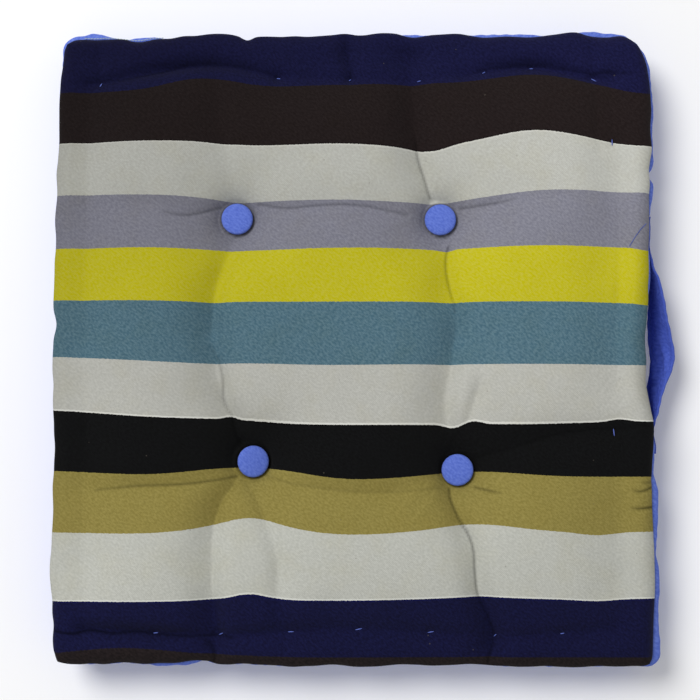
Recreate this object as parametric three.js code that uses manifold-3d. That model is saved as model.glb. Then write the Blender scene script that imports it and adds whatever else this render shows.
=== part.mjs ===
// Outdoor chair pad, built the way a small mattress is: a filled pad under a striped woven top,
// a plain blue band round the sides, a blue underside, a rolled edge held by tack stitches, four
// covered buttons that draw the top down into the filling, and a carry handle on one side.
//
// Units are millimetres, +Z is up. The origin is the middle of the underside, which lies flat on
// Z = 0. +X points to the side with the carry handle, and +Y to the pad's back edge.

import * as THREE from "three";
import { mergeVertices } from "three/addons/utils/BufferGeometryUtils.js";
import Module from "manifold-3d";

// Driving dimensions of the pad, measured at the seam that joins the striped top to the band.
const HALF_WIDTH = 214;
const HALF_DEPTH = 226.5;
const SEAM_Z = 40;
const ROLL_Z = 49; // top of the rolled edge
const ROLL_WIDTH = 13; // from the seam in to the top of the roll
const CROWN_RISE = 10; // how far the filling rises above the rolled edge
const CROWN_START = 22; // where that rise begins and ends, measured in from the seam
const CROWN_END = 95;
const CORNER_RADII = { backLeft: 9, backRight: 20, frontLeft: 10, frontRight: 9 };

// Cloth and the air left between neighbouring pieces.
const CLOTH = 1.5;
const GAP = 0.3;

// The four sides. Each row is a place along the side: how far the seam lies outside the plain
// rectangle there, and how far the roll of the band stands out past the seam.
const LEFT_SIDE = [
  { at: -226, seam: -1.5, roll: 1.4 },
  { at: -146, seam: 1.0, roll: 1.2 },
  { at: -74, seam: 0.2, roll: 1.6 },
  { at: -2, seam: 1.6, roll: 1.2 },
  { at: 85, seam: 1.4, roll: 1.2 },
  { at: 158, seam: -0.6, roll: 1.4 },
  { at: 226, seam: -3.0, roll: 2.6 },
];
const RIGHT_SIDE = [
  { at: -226, seam: -1.0, roll: 6.0 },
  { at: -185, seam: -1.2, roll: 6.4 },
  { at: -152, seam: -1.7, roll: 4.8 },
  { at: -112, seam: -1.0, roll: 6.2 },
  { at: -78, seam: -1.0, roll: 3.6 },
  { at: -60, seam: -1.4, roll: 4.0 },
  { at: -28, seam: -5.0, roll: 3.6 },
  { at: 40, seam: -1.8, roll: 2.4 },
  { at: 85, seam: -1.0, roll: 1.6 },
  { at: 104, seam: -1.0, roll: 4.8 },
  { at: 122, seam: -0.8, roll: 2.6 },
  { at: 140, seam: 1.6, roll: 3.6 },
  { at: 190, seam: 2.2, roll: 2.8 },
  { at: 226, seam: 0.5, roll: 3.0 },
];
const BACK_SIDE = [
  { at: -214, seam: -3.5, roll: 6.5 },
  { at: -180, seam: -3.0, roll: 5.0 },
  { at: -150, seam: -2.4, roll: 3.0 },
  { at: -120, seam: 1.6, roll: 1.0 },
  { at: -92, seam: 2.6, roll: 1.2 },
  { at: -74, seam: -2.6, roll: 1.4 },
  { at: -56, seam: 0.6, roll: 1.4 },
  { at: 20, seam: 2.8, roll: 1.2 },
  { at: 80, seam: 2.0, roll: 1.0 },
  { at: 140, seam: 2.4, roll: 1.0 },
  { at: 178, seam: 3.4, roll: 2.2 },
  { at: 214, seam: 0.6, roll: 2.4 },
];
const FRONT_SIDE = [
  { at: -214, seam: -1.5, roll: 1.4 },
  { at: -166, seam: -1.6, roll: 1.4 },
  { at: -130, seam: 0.8, roll: 1.2 },
  { at: -104, seam: -1.8, roll: 1.2 },
  { at: -60, seam: 1.2, roll: 1.2 },
  { at: -10, seam: 0, roll: 1.2 },
  { at: 50, seam: 0.4, roll: 1.2 },
  { at: 95, seam: 0, roll: 1.4 },
  { at: 128, seam: 1.8, roll: 1.4 },
  { at: 214, seam: 1.0, roll: 1.2 },
];

// The band from the top seam down to the bottom seam. A share of 1 is the full roll of that place.
const BAND_PROFILE = [
  { z: SEAM_Z - GAP, share: 0, out: 0 },
  { z: 35, share: 1, out: 0 },
  { z: 22, share: 0.7, out: -2.0 },
  { z: 9, share: 0.8, out: -0.4 },
  { z: CLOTH + GAP, share: 0, out: -4.0 },
];

// Covered buttons: a 36 line button is 36 fortieths of an inch across.
const LINE = 25.4 / 40;
const BUTTON = { diameter: 36 * LINE, footShare: 0.86, rimHeight: 2.2, domeHeight: 2.6, seatZ: 37 };
const BUTTON_SEGMENTS = 24;
const BUTTON_RINGS = 4;

// The hollow that a button pulls into the top: a flat seat, then a rise back to the crown, of
// which half is done at the given distance from the seat.
const TUFT = {
  depth: CROWN_RISE + ROLL_Z - BUTTON.seatZ,
  seatRadius: 16.5,
  halfRiseAt: 13,
  steepness: 1.5,
};
const TUFTS = [
  { name: "button_upper_left", x: -84, y: 92.5 },
  { name: "button_upper_right", x: 63.5, y: 92 },
  { name: "button_lower_left", x: -72, y: -82.5 },
  { name: "button_lower_right", x: 75, y: -88.5 },
];
const UNDER_DIMPLE = { radius: 30, height: 6, segments: 14, rings: 3 };

// Valleys that the buttons and the tack stitches pull into the top. Each is a smooth line through
// its points, with its depth at the start, middle and end, and its half width.
const VALLEYS = [
  // left buttons, from one to the other, then out to the front and back edges
  { depth: [12, 9, 12], width: 15, points: [[-83, 80], [-95, 33], [-98, 4], [-95, -25], [-80, -66]] },
  { depth: [11, 8, 9], width: 14, points: [[-78, -96], [-91, -108], [-97, -131], [-99, -166], [-97, -226]] },
  { depth: [6, 3, 3], width: 11, points: [[-66, -98], [-60, -124], [-51, -160], [-49, -214]] },
  { depth: [9, 6, 3], width: 16, points: [[-85, 106], [-90, 130], [-94, 150], [-101, 194]] },
  // right buttons, the same way
  { depth: [12, 9, 12], width: 15, points: [[65, 78], [71, 47], [74, 20], [72, -10], [67, -50], [72, -74]] },
  { depth: [11, 7, 9], width: 13, points: [[73, -102], [76, -125], [85, -166], [90, -195], [95, -226]] },
  { depth: [10, 7, 5], width: 13, points: [[60, 105], [48, 124], [43, 152], [41, 206]] },
  // across the pad, through the buttons
  { depth: [7, 4, 7], width: 13, points: [[-70, 97], [-45, 100], [-9, 103], [26, 99], [50, 94]] },
  { depth: [7, 3, 1], width: 13, points: [[77, 96], [98, 102], [130, 107], [180, 108]] },
  { depth: [7, 4, 1], width: 13, points: [[-98, 95], [-114, 96], [-140, 101], [-190, 104]] },
  { depth: [7, 5, 7], width: 13, points: [[-58, -90], [-37, -99], [-2, -104], [30, -103], [61, -94]] },
  { depth: [7, 5, 3], width: 13, points: [[-86, -89], [-122, -98], [-190, -102]] },
  { depth: [7, 5, 3], width: 13, points: [[89, -82], [112, -71], [140, -65], [186, -60]] },
  // the rows of tack stitches that hold the rolled edge
  { depth: [5, 7, 5], width: 7, points: [[-190, 190], [-182, 191], [-140, 201], [-97, 204], [-54, 196]] },
  { depth: [5, 4, 4], width: 8, points: [[-54, 196], [-2, 195], [47, 194], [80, 200]] },
  { depth: [4, 7, 6], width: 7, points: [[80, 200], [130, 202], [174, 194], [186, 194]] },
  { depth: [6, 7, 6], width: 7, points: [[-190, -201], [-140, -204], [-94, -206]] },
  { depth: [6, 4, 4], width: 8, points: [[-94, -206], [3, -200], [101, -206], [186, -201]] },
  { depth: [4, 3, 4], width: 9, points: [[-190, 190], [-190, 110], [-193, 0], [-190, -60], [-190, -201]] },
  { depth: [5, 4, 4], width: 9, points: [[186, 194], [187, 147], [182, 20], [186, -60], [186, -201]] },
  // a pinch across the roll at the middle of the back edge
  { depth: [6, 6, 5], width: 8, points: [[-5, 226], [-4, 208], [-2, 195]] },
];
const VALLEY_STEPS = 24; // straight pieces that a valley's line is measured along
const VALLEY_POWER = 1.4; // 1 is a sharp V across the valley, 2 a round trough
const BLEND_POWER = 2.5; // how valleys that meet run into each other

// Lines of the top's mesh: at these insets over the rolled edge, and then one step apart, with a
// shorter step within reach of a button.
const EDGE_INSETS = [0, 2, 6.5, 13, 21, 31];
const INNER_STEP = 12;
const TUFT_STEP = 6.5;
const TUFT_REACH = 20;

// The carry handle: a flat strap with a tab sewn to the band at each end. It bows out from the
// band and leans over. Each row is a place along the band: how far its middle stands off the
// band, how far it sags, and how far its upper edge leans out, in degrees.
const STRAP = { width: 26, thickness: 2.6, z: 22 };
const STRAP_ROWS = [
  { y: -77, off: 0, sag: 0, lean: 0 },
  { y: -58, off: 0, sag: 0, lean: 0 },
  { y: -46, off: 2.0, sag: 1.2, lean: 12 },
  { y: -30, off: 6.0, sag: 3.6, lean: 27 },
  { y: -10, off: 10.6, sag: 5.8, lean: 38 },
  { y: 10, off: 9.2, sag: 5.4, lean: 36 },
  { y: 34, off: 5.0, sag: 3.8, lean: 25 },
  { y: 56, off: 1.2, sag: 1.2, lean: 12 },
  { y: 74, off: 0, sag: 0, lean: 0 },
  { y: 95, off: 0, sag: 0, lean: 0 },
];
const STRAP_STATIONS = 36;
const STRAP_ACROSS = 4;

const COLOURS = { stripes: 0xaaaba4, blue: 0x4560c0, button: 0x6079dc };
const CLOTH_ROUGHNESS = 0.9;

// Small tools

const clamp01 = (t) => Math.min(1, Math.max(0, t));
const smoothStep = (t) => clamp01(t) ** 2 * (3 - 2 * clamp01(t));

// The value of one column of a table at a place between its rows, along a smooth curve.
function readTable(rows, key, place, column) {
  const last = rows.length - 1;
  let i = 0;
  while (i < last - 1 && place > rows[i + 1][key]) i += 1;
  const slopeAt = (k) => {
    const a = rows[Math.max(0, k - 1)];
    const b = rows[Math.min(last, k + 1)];
    return (b[column] - a[column]) / (b[key] - a[key]);
  };
  const span = rows[i + 1][key] - rows[i][key];
  const t = clamp01((place - rows[i][key]) / span);
  return (
    rows[i][column] * (1 + 2 * t) * (1 - t) ** 2 +
    rows[i + 1][column] * t * t * (3 - 2 * t) +
    slopeAt(i) * span * t * (1 - t) ** 2 -
    slopeAt(i + 1) * span * t * t * (1 - t)
  );
}

// A closed mesh from points and triangles, with its normals worked out.
function geometryOf(points, triangles) {
  const geometry = new THREE.BufferGeometry();
  geometry.setAttribute("position", new THREE.Float32BufferAttribute(points.flat(), 3));
  geometry.setIndex(triangles.flat());
  geometry.computeVertexNormals();
  return geometry;
}

// Two triangles for each cell between two closed loops of points, given as index lists. Seen from
// outside, the first loop is above the second, and both run anticlockwise as seen from above.
function stitchLoops(upper, lower) {
  return upper.flatMap((_, i) => {
    const j = (i + 1) % upper.length;
    return [
      [upper[i], lower[i], lower[j]],
      [upper[i], lower[j], upper[j]],
    ];
  });
}

// Outline of the pad, as seen from above

// Rounds a corner: a point of the square corner moves to the same place in a quarter circle.
function roundCorner(x, y) {
  const side = x < 0 ? "Left" : "Right";
  const radius = CORNER_RADII[(y < 0 ? "front" : "back") + side];
  const a = (Math.abs(x) - HALF_WIDTH + radius) / radius;
  const b = (Math.abs(y) - HALF_DEPTH + radius) / radius;
  if (a <= 0 || b <= 0) return [x, y];
  const roundX = HALF_WIDTH - radius + radius * a * Math.sqrt(1 - (b * b) / 2);
  const roundY = HALF_DEPTH - radius + radius * b * Math.sqrt(1 - (a * a) / 2);
  return [Math.sign(x) * roundX, Math.sign(y) * roundY];
}

// Where a point of the plain rectangle lies on the real pad, whose sides wander in and out.
function onPad(flatX, flatY) {
  const [x, y] = roundCorner(flatX, flatY);
  const shareX = Math.abs(x / HALF_WIDTH) ** 4;
  const shareY = Math.abs(y / HALF_DEPTH) ** 4;
  const sideways = readTable(x < 0 ? LEFT_SIDE : RIGHT_SIDE, "at", y, "seam") * shareX;
  const lengthways = readTable(y < 0 ? FRONT_SIDE : BACK_SIDE, "at", x, "seam") * shareY;
  return [x + Math.sign(x) * sideways, y + Math.sign(y) * lengthways];
}

// How far the roll of the band stands out at a point of the seam with an outward direction.
function rollAt(x, y, outward) {
  const besides = readTable(x < 0 ? LEFT_SIDE : RIGHT_SIDE, "at", y, "roll");
  const endways = readTable(y < 0 ? FRONT_SIDE : BACK_SIDE, "at", x, "roll");
  return besides * outward[0] ** 2 + endways * outward[1] ** 2;
}

// Height of the striped top

const valleyLines = VALLEYS.map(({ points, depth, width }) => {
  const curve = new THREE.CatmullRomCurve3(points.map(([x, y]) => new THREE.Vector3(x, y, 0)));
  return { line: curve.getSpacedPoints(VALLEY_STEPS), depth, width };
});

// How deep one valley is at a point: full on its line, fading on both sides and past its ends.
function valleyDepth({ line, depth, width }, x, y) {
  let nearest = Infinity;
  let along = 0;
  for (let i = 0; i < line.length - 1; i += 1) {
    const dx = line[i + 1].x - line[i].x;
    const dy = line[i + 1].y - line[i].y;
    const t = clamp01(((x - line[i].x) * dx + (y - line[i].y) * dy) / (dx * dx + dy * dy));
    const distance = Math.hypot(x - line[i].x - t * dx, y - line[i].y - t * dy);
    if (distance < nearest) {
      nearest = distance;
      along = (i + t) / (line.length - 1);
    }
  }
  const [start, middle, end] = depth;
  const full =
    along < 0.5
      ? start + (middle - start) * smoothStep(along * 2)
      : middle + (end - middle) * smoothStep(along * 2 - 1);
  return full * Math.exp(-((nearest / width) ** VALLEY_POWER));
}

// How far a button pulls the top down at a point: all the way on its seat, less further out.
function tuftDepth(tuft, x, y) {
  const past = Math.max(0, Math.hypot(x - tuft.x, y - tuft.y) - TUFT.seatRadius);
  return TUFT.depth / (1 + (past / TUFT.halfRiseAt) ** TUFT.steepness);
}

function topHeight(flatX, flatY, x, y) {
  const inX = HALF_WIDTH - Math.abs(flatX);
  const inY = HALF_DEPTH - Math.abs(flatY);
  const inside = Math.min(inX, inY);
  const shoulder = 1 - Math.min(inside, ROLL_WIDTH) / ROLL_WIDTH;
  const roll = SEAM_Z + (ROLL_Z - SEAM_Z) * Math.sqrt(1 - shoulder * shoulder);
  const rise = (distance) => smoothStep((distance - CROWN_START) / (CROWN_END - CROWN_START));
  const crown = CROWN_RISE * Math.sqrt(rise(inX) * rise(inY));
  const seat = TUFTS.some((tuft) => Math.hypot(x - tuft.x, y - tuft.y) <= TUFT.seatRadius);
  if (seat) return BUTTON.seatZ;
  const depths = [
    ...valleyLines.map((valley) => valleyDepth(valley, x, y)),
    ...TUFTS.map((tuft) => tuftDepth(tuft, x, y)),
  ];
  const pull = depths.reduce((sum, depth) => sum + depth ** BLEND_POWER, 0) ** (1 / BLEND_POWER);
  // A valley that crosses the roll fades out at the seam.
  return Math.max(BUTTON.seatZ, roll + crown - pull * clamp01(inside / ROLL_WIDTH));
}

// Lines of the mesh from one seam to the opposite one.
function stations(half, tuftPlaces) {
  const edge = EDGE_INSETS.map((step) => half - step);
  const last = edge[edge.length - 1];
  const inner = [];
  let place = -last;
  while (place < last - 1.5 * INNER_STEP) {
    const byTuft = tuftPlaces.some((tuftPlace) => Math.abs(tuftPlace - place) < TUFT_REACH);
    place += byTuft ? TUFT_STEP : INNER_STEP;
    inner.push(place);
  }
  return [...edge.map((s) => -s), ...inner, ...edge.reverse()];
}

const columns = stations(HALF_WIDTH, TUFTS.map((tuft) => tuft.x));
const rows = stations(HALF_DEPTH, TUFTS.map((tuft) => tuft.y));

// The seam as one loop of points, anticlockwise from the front left corner as seen from above.
const seam = [
  ...columns.slice(0, -1).map((x) => [x, rows[0]]),
  ...rows.slice(0, -1).map((y) => [columns[columns.length - 1], y]),
  ...columns.slice(1).reverse().map((x) => [x, rows[rows.length - 1]]),
  ...rows.slice(1).reverse().map((y) => [columns[0], y]),
].map(([flatX, flatY]) => onPad(flatX, flatY));

const seamOutward = seam.map((_, i) => {
  const before = seam[(i + seam.length - 1) % seam.length];
  const after = seam[(i + 1) % seam.length];
  const length = Math.hypot(after[0] - before[0], after[1] - before[1]);
  return [(after[1] - before[1]) / length, (before[0] - after[0]) / length];
});

// A loop of points that lies outside the seam by a given amount at each point.
function loopAround(z, outAt) {
  return seam.map(([x, y], i) => {
    const out = outAt(i);
    return [x + seamOutward[i][0] * out, y + seamOutward[i][1] * out, z];
  });
}

// Loops of the band's surface from the top seam to the bottom seam, moved in by some amount.
function bandLoops(inset) {
  return BAND_PROFILE.map(({ z, share, out }) =>
    loopAround(z, (i) => {
      const [x, y] = seam[i];
      return out + share * rollAt(x, y, seamOutward[i]) - inset;
    }),
  );
}

// The filled pad

function topGeometry() {
  const points = [];
  const triangles = [];
  const index = (i, j) => j * columns.length + i;
  for (const flatY of rows) {
    for (const flatX of columns) {
      const [x, y] = onPad(flatX, flatY);
      points.push([x, y, topHeight(flatX, flatY, x, y)]);
    }
  }
  for (let j = 0; j < rows.length - 1; j += 1) {
    for (let i = 0; i < columns.length - 1; i += 1) {
      const [a, b, c, d] = [index(i, j), index(i + 1, j), index(i + 1, j + 1), index(i, j + 1)];
      // In the corners the diagonal runs out to the corner point, so no cell folds over.
      const leftToRight = (i < columns.length / 2) === (j < rows.length / 2);
      triangles.push(...(leftToRight ? [[a, b, c], [a, c, d]] : [[a, b, d], [b, c, d]]));
    }
  }
  const edge = [
    ...columns.slice(0, -1).map((_, i) => index(i, 0)),
    ...rows.slice(0, -1).map((_, j) => index(columns.length - 1, j)),
    ...columns.slice(1).map((_, i) => index(columns.length - 1 - i, rows.length - 1)),
    ...rows.slice(1).map((_, j) => index(0, rows.length - 1 - j)),
  ];
  return { points, triangles, edge };
}

// Adds loops of points under an edge, one below the other, and closes the last with a flat face.
function closeBelow({ points, triangles, edge }, loops) {
  let upper = edge;
  for (const loop of loops) {
    const lower = loop.map((_, i) => points.length + i);
    points.push(...loop);
    triangles.push(...stitchLoops(upper, lower));
    upper = lower;
  }
  const flat = loops[loops.length - 1].map(([x, y]) => new THREE.Vector2(x, y));
  for (const [a, b, c] of THREE.ShapeUtils.triangulateShape(flat, [])) {
    triangles.push([upper[a], upper[c], upper[b]]);
  }
  return geometryOf(points, triangles);
}

function padGeometry() {
  const lip = loopAround(SEAM_Z, () => -CLOTH - 2 * GAP);
  return closeBelow(topGeometry(), [lip, ...bandLoops(CLOTH + GAP).slice(1)]);
}

// The side band, a strip of cloth that runs all the way round

function bandGeometry() {
  const loops = [...bandLoops(0), ...bandLoops(CLOTH)];
  const indices = loops.map((loop, k) => loop.map((_, i) => k * loop.length + i));
  const outer = indices.slice(0, BAND_PROFILE.length);
  const inner = indices.slice(BAND_PROFILE.length);
  const bottom = BAND_PROFILE.length - 1;
  const triangles = [
    ...outer.slice(1).flatMap((loop, k) => stitchLoops(outer[k], loop)),
    // The inner face is the outer one turned inside out, so both bend along the same diagonals.
    ...inner.slice(1).flatMap((loop, k) => stitchLoops(inner[k], loop).map((t) => t.reverse())),
    ...stitchLoops(inner[0], outer[0]),
    ...stitchLoops(outer[bottom], inner[bottom]),
  ];
  return geometryOf(loops.flat(), triangles);
}

// The underside panel, a flat cloth as wide as the bottom seam

function baseSheet() {
  const last = BAND_PROFILE[BAND_PROFILE.length - 1];
  const outline = loopAround(0, () => last.out).map(([x, y]) => new THREE.Vector2(x, y));
  return new THREE.ExtrudeGeometry(new THREE.Shape(outline), { depth: CLOTH, bevelEnabled: false });
}

// Buttons

function buttonGeometry() {
  const { diameter, footShare, rimHeight, domeHeight } = BUTTON;
  const radius = diameter / 2;
  const dome = Array.from({ length: BUTTON_RINGS }, (_, i) => {
    const angle = (i / BUTTON_RINGS) * (Math.PI / 2);
    return new THREE.Vector2(radius * Math.cos(angle), rimHeight + domeHeight * Math.sin(angle));
  });
  const foot = [new THREE.Vector2(0, 0), new THREE.Vector2(radius * footShare, 0)];
  const crown = new THREE.Vector2(0, rimHeight + domeHeight);
  return new THREE.LatheGeometry([...foot, ...dome, crown], BUTTON_SEGMENTS).rotateX(Math.PI / 2);
}

// The carry handle

// Reads a line of [place, value] pairs, given in rising order, straight from pair to pair.
function readStraight(pairs, place) {
  let i = 0;
  while (i < pairs.length - 2 && place > pairs[i + 1][0]) i += 1;
  const [[from, start], [to, end]] = pairs.slice(i, i + 2);
  return start + ((end - start) * (place - from)) / (to - from);
}

// The band's outer surface on the handle side, in lines from its foot up.
const handleSide = bandLoops(0)
  .reverse()
  .map((loop) => loop.slice(columns.length - 1, columns.length + rows.length - 1));

// The section of that surface at a place along the side: [height, X] pairs from the foot up.
function bandSection(y) {
  return handleSide.map((line) => [
    line[0][2],
    readStraight(line.map(([lineX, lineY]) => [lineY, lineX]), y),
  ]);
}

function strapGeometry() {
  const { width, thickness, z: middleZ } = STRAP;
  const first = STRAP_ROWS[0].y;
  const length = STRAP_ROWS[STRAP_ROWS.length - 1].y - first;
  const points = [];
  const loops = [];
  for (let k = 0; k < STRAP_STATIONS; k += 1) {
    const y = first + (length * k) / (STRAP_STATIONS - 1);
    const off = readTable(STRAP_ROWS, "y", y, "off");
    const sag = readTable(STRAP_ROWS, "y", y, "sag");
    const lean = THREE.MathUtils.degToRad(readTable(STRAP_ROWS, "y", y, "lean"));
    const section = bandSection(y);
    const bulge = Math.max(...section.map(([, x]) => x));
    const inner = [];
    const outer = [];
    for (let j = 0; j <= STRAP_ACROSS; j += 1) {
      const up = width * (j / STRAP_ACROSS - 0.5);
      const z = middleZ - sag + up * Math.cos(lean);
      // The tabs follow the band. Between them the strap stays clear of the band's widest part.
      const free = bulge + Math.max(0, off + up * Math.sin(lean));
      const x = GAP + (off > 0 ? free : readStraight(section, z));
      inner.push([x, y, z]);
      outer.push([x + thickness * Math.cos(lean), y, z - thickness * Math.sin(lean)]);
    }
    loops.push([...inner, ...outer.reverse()].map((_, i) => points.length + i));
    points.push(...inner, ...outer);
  }
  const triangles = loops.slice(1).flatMap((loop, k) => stitchLoops(loop, loops[k]));
  const front = loops[0];
  const back = loops[loops.length - 1];
  for (let j = 0; j < STRAP_ACROSS; j += 1) {
    const opposite = front.length - 1 - j;
    triangles.push([front[j], front[opposite - 1], front[j + 1]]);
    triangles.push([front[j], front[opposite], front[opposite - 1]]);
    triangles.push([back[j], back[j + 1], back[opposite - 1]]);
    triangles.push([back[j], back[opposite - 1], back[opposite]]);
  }
  return geometryOf(points, triangles);
}

// Booleans

const wasm = await Module();
wasm.setup();

function solidOf(geometry) {
  const bare = new THREE.BufferGeometry();
  bare.setAttribute("position", geometry.getAttribute("position"));
  if (geometry.index) bare.setIndex(geometry.index);
  const merged = mergeVertices(bare, 1e-3);
  return new wasm.Manifold(
    new wasm.Mesh({
      numProp: 3,
      vertProperties: merged.getAttribute("position").array,
      triVerts: new Uint32Array(merged.index.array),
    }),
  );
}

function geometryOfSolid(solid) {
  const { vertProperties, triVerts } = solid.getMesh();
  const geometry = new THREE.BufferGeometry();
  geometry.setAttribute("position", new THREE.BufferAttribute(vertProperties, 3));
  geometry.setIndex(new THREE.BufferAttribute(triVerts, 1));
  geometry.computeVertexNormals();
  return geometry;
}

// The low dome that a button's thread draws up into the pad from below, lifted by some amount.
function dimple({ x, y }, lift) {
  const { radius, height, rings, segments } = UNDER_DIMPLE;
  const dome = Array.from({ length: rings + 1 }, (_, i) => {
    const share = 1 - i / rings;
    return new THREE.Vector2(radius * share, height * (1 - smoothStep(share)));
  });
  const foot = [new THREE.Vector2(0, -CLOTH / 2), new THREE.Vector2(radius, -CLOTH / 2)];
  const lathe = new THREE.LatheGeometry([...foot, ...dome], segments);
  return solidOf(lathe.rotateX(Math.PI / 2).translate(x, y, lift));
}

// The underside panel follows the dimples, and the pad makes room for them.
function drawnUp() {
  let base = solidOf(baseSheet());
  let pad = solidOf(padGeometry());
  for (const tuft of TUFTS) {
    base = base.add(dimple(tuft, CLOTH)).subtract(dimple(tuft, 0));
    pad = pad.subtract(dimple(tuft, CLOTH + GAP));
  }
  return { base: geometryOfSolid(base), pad: geometryOfSolid(pad) };
}

// The whole object

const chairPad = new THREE.Group();

function addPiece(name, geometry, color, place = [0, 0, 0]) {
  const cloth = new THREE.MeshStandardMaterial({ color, roughness: CLOTH_ROUGHNESS, metalness: 0 });
  const mesh = new THREE.Mesh(geometry, cloth);
  mesh.name = name;
  mesh.position.set(...place);
  chairPad.add(mesh);
}

const drawn = drawnUp();
addPiece("pad", drawn.pad, COLOURS.stripes);
addPiece("side_band", bandGeometry(), COLOURS.blue);
addPiece("base_panel", drawn.base, COLOURS.blue);
addPiece("carry_handle", strapGeometry(), COLOURS.blue);
for (const { name, x, y } of TUFTS) {
  addPiece(name, buttonGeometry(), COLOURS.button, [x, y, BUTTON.seatZ + GAP]);
}

export default chairPad;
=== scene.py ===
from math import cos, pi, radians, sin

import bpy
import numpy as np
from mathutils import Euler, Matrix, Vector


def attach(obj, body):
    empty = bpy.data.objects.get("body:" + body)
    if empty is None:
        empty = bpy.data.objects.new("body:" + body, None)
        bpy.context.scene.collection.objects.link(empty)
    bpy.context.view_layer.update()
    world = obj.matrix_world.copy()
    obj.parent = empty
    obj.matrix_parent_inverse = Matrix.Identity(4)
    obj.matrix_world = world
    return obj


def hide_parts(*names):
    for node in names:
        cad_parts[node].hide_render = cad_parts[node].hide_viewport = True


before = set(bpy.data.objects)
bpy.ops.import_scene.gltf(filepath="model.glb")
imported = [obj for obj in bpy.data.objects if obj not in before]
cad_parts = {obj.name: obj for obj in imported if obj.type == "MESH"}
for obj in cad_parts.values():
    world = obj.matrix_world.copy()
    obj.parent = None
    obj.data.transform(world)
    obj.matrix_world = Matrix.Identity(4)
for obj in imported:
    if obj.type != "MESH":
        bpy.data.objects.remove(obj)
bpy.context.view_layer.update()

# Camera. The photograph looks almost straight down at the pad's face, from a little in front of
# it, so the camera stands 1.2 m above the pad and leans 4.5 degrees.
CAMERA_TARGET = Vector((-0.00215, -0.003, 0.045))
CAMERA_ELEVATION = radians(85.5)
CAMERA_DISTANCE = 1.18438

camera_data = bpy.data.cameras.new("camera")
camera_data.lens = 85
camera_data.sensor_width = 36
camera = bpy.data.objects.new("camera", camera_data)
camera_back = Vector((0, -cos(CAMERA_ELEVATION), sin(CAMERA_ELEVATION)))
camera.location = CAMERA_TARGET + camera_back * CAMERA_DISTANCE
camera.rotation_euler = (pi / 2 - CAMERA_ELEVATION, 0, 0)
bpy.context.scene.collection.objects.link(camera)
bpy.context.scene.camera = camera


# The filled pad. A striped canvas panel is sewn over fibre filling, its edge is worked into a
# roll, and four buttons draw it down. Sizes here are millimetres, and the main ones are the
# solid's own. The edge and the folds are worked out more finely than on the solid.
MM = 0.001
HALF_WIDTH = 214.0
HALF_DEPTH = 226.5
SEAM_Z = 40.0
ROLL_Z = 49.0
ROLL_WIDTH = 13.0
CROWN_RISE = 9.0
CROWN_START = 22.0
CROWN_END = 95.0
SEAT_Z = 36.6
CLOTH = 1.5
GAP = 0.3
CORNER_RADII = {"back_left": 11, "back_right": 25, "front_left": 11, "front_right": 9}

# The four sides: a place along the side, how far the seam lies outside the plain rectangle
# there, and how far the band rolls out past the seam.
LEFT_SIDE = [
    (-226, -4.9, 1.4), (-214, -1.8, 1.4), (-196, -1.3, 1.3), (-176, -0.2, 1.2),
    (-156, 1.2, 1.2), (-136, 0.5, 1.2), (-116, -0.5, 1.4), (-100, -0.4, 1.5),
    (-86, -1.2, 1.6), (-70, -1.7, 1.6), (-56, -0.4, 1.5), (-40, 0.5, 1.4),
    (-26, 0.8, 1.3), (-12, 2.1, 1.2), (2, 1.4, 1.2), (15, -1.0, 1.2),
    (28, 1.0, 1.2), (42, 1.3, 1.2), (60, 0.8, 1.2), (78, 0.3, 1.2),
    (94, 0.5, 1.2), (110, -0.4, 1.2), (126, 0.5, 1.2), (144, -1.1, 1.3),
    (162, -0.7, 1.4), (180, -0.8, 1.7), (198, -2.3, 2.1), (214, -3.6, 2.4),
    (226, -3.0, 2.6),
]
RIGHT_SIDE = [
    (-226, -1.7, 7.2), (-210, -1.1, 6.0), (-192, -0.3, 4.2), (-174, 0.8, 4.2),
    (-160, 0.9, 3.7), (-146, 0.4, 2.7), (-130, 0.2, 4.2), (-114, -0.3, 5.3),
    (-102, -0.3, 5.1), (-91, -0.8, 2.7), (-80, 0.4, 3.4), (-68, 1.2, 2.9),
    (-56, 1.0, 0.8), (-46, -0.3, 0.8), (-36, -2.5, 0.7), (-24, -4.5, 0.6),
    (-10, -4.3, 0.7), (6, -4.6, 1.0), (24, -2.9, 1.1), (42, -1.3, 2.5),
    (56, -0.5, 2.5), (70, -0.6, 2.5), (84, 0.4, 2.6), (98, 0.5, 2.4),
    (110, 0.6, 3.4), (118, 1.3, 3.3), (125, -0.1, 1.6), (132, 1.3, 3.6),
    (143, 2.7, 2.6), (156, 2.1, 2.7), (172, 2.8, 2.8), (190, 1.9, 2.8),
    (208, -0.1, 3.3), (226, -0.3, 2.9),
]
BACK_SIDE = [
    (-214, -3.5, 6.5), (-200, -2.0, 3.8), (-188, -2.3, 6.3), (-178, -1.8, 3.5),
    (-168, -2.6, 2.1), (-156, -3.7, 4.3), (-146, -2.0, 3.3), (-136, -1.5, 1.7),
    (-122, 0.2, 1.1), (-108, 1.1, 0.9), (-96, 1.7, 1.1), (-84, -0.2, 1.3),
    (-77, -3.3, 1.4), (-70, -1.4, 1.4), (-62, -0.7, 1.4), (-52, -0.8, 1.4),
    (-40, -0.4, 1.4), (-28, -0.5, 1.3), (-16, 0.2, 1.3), (-6, 1.6, 1.3),
    (4, 0.4, 1.6), (16, 1.6, 1.2), (30, 1.5, 1.3), (44, -0.4, 3.5),
    (60, 1.2, 1.2), (76, 1.3, 1.4), (94, -0.3, 3.4), (112, 0.3, 3.1),
    (130, -0.1, 3.3), (146, 1.4, 1.1), (162, 3.3, 1.5), (174, 0.5, 5.0),
    (186, -0.2, 4.1), (198, 1.4, 2.7), (214, 0.6, 2.4),
]
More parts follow.
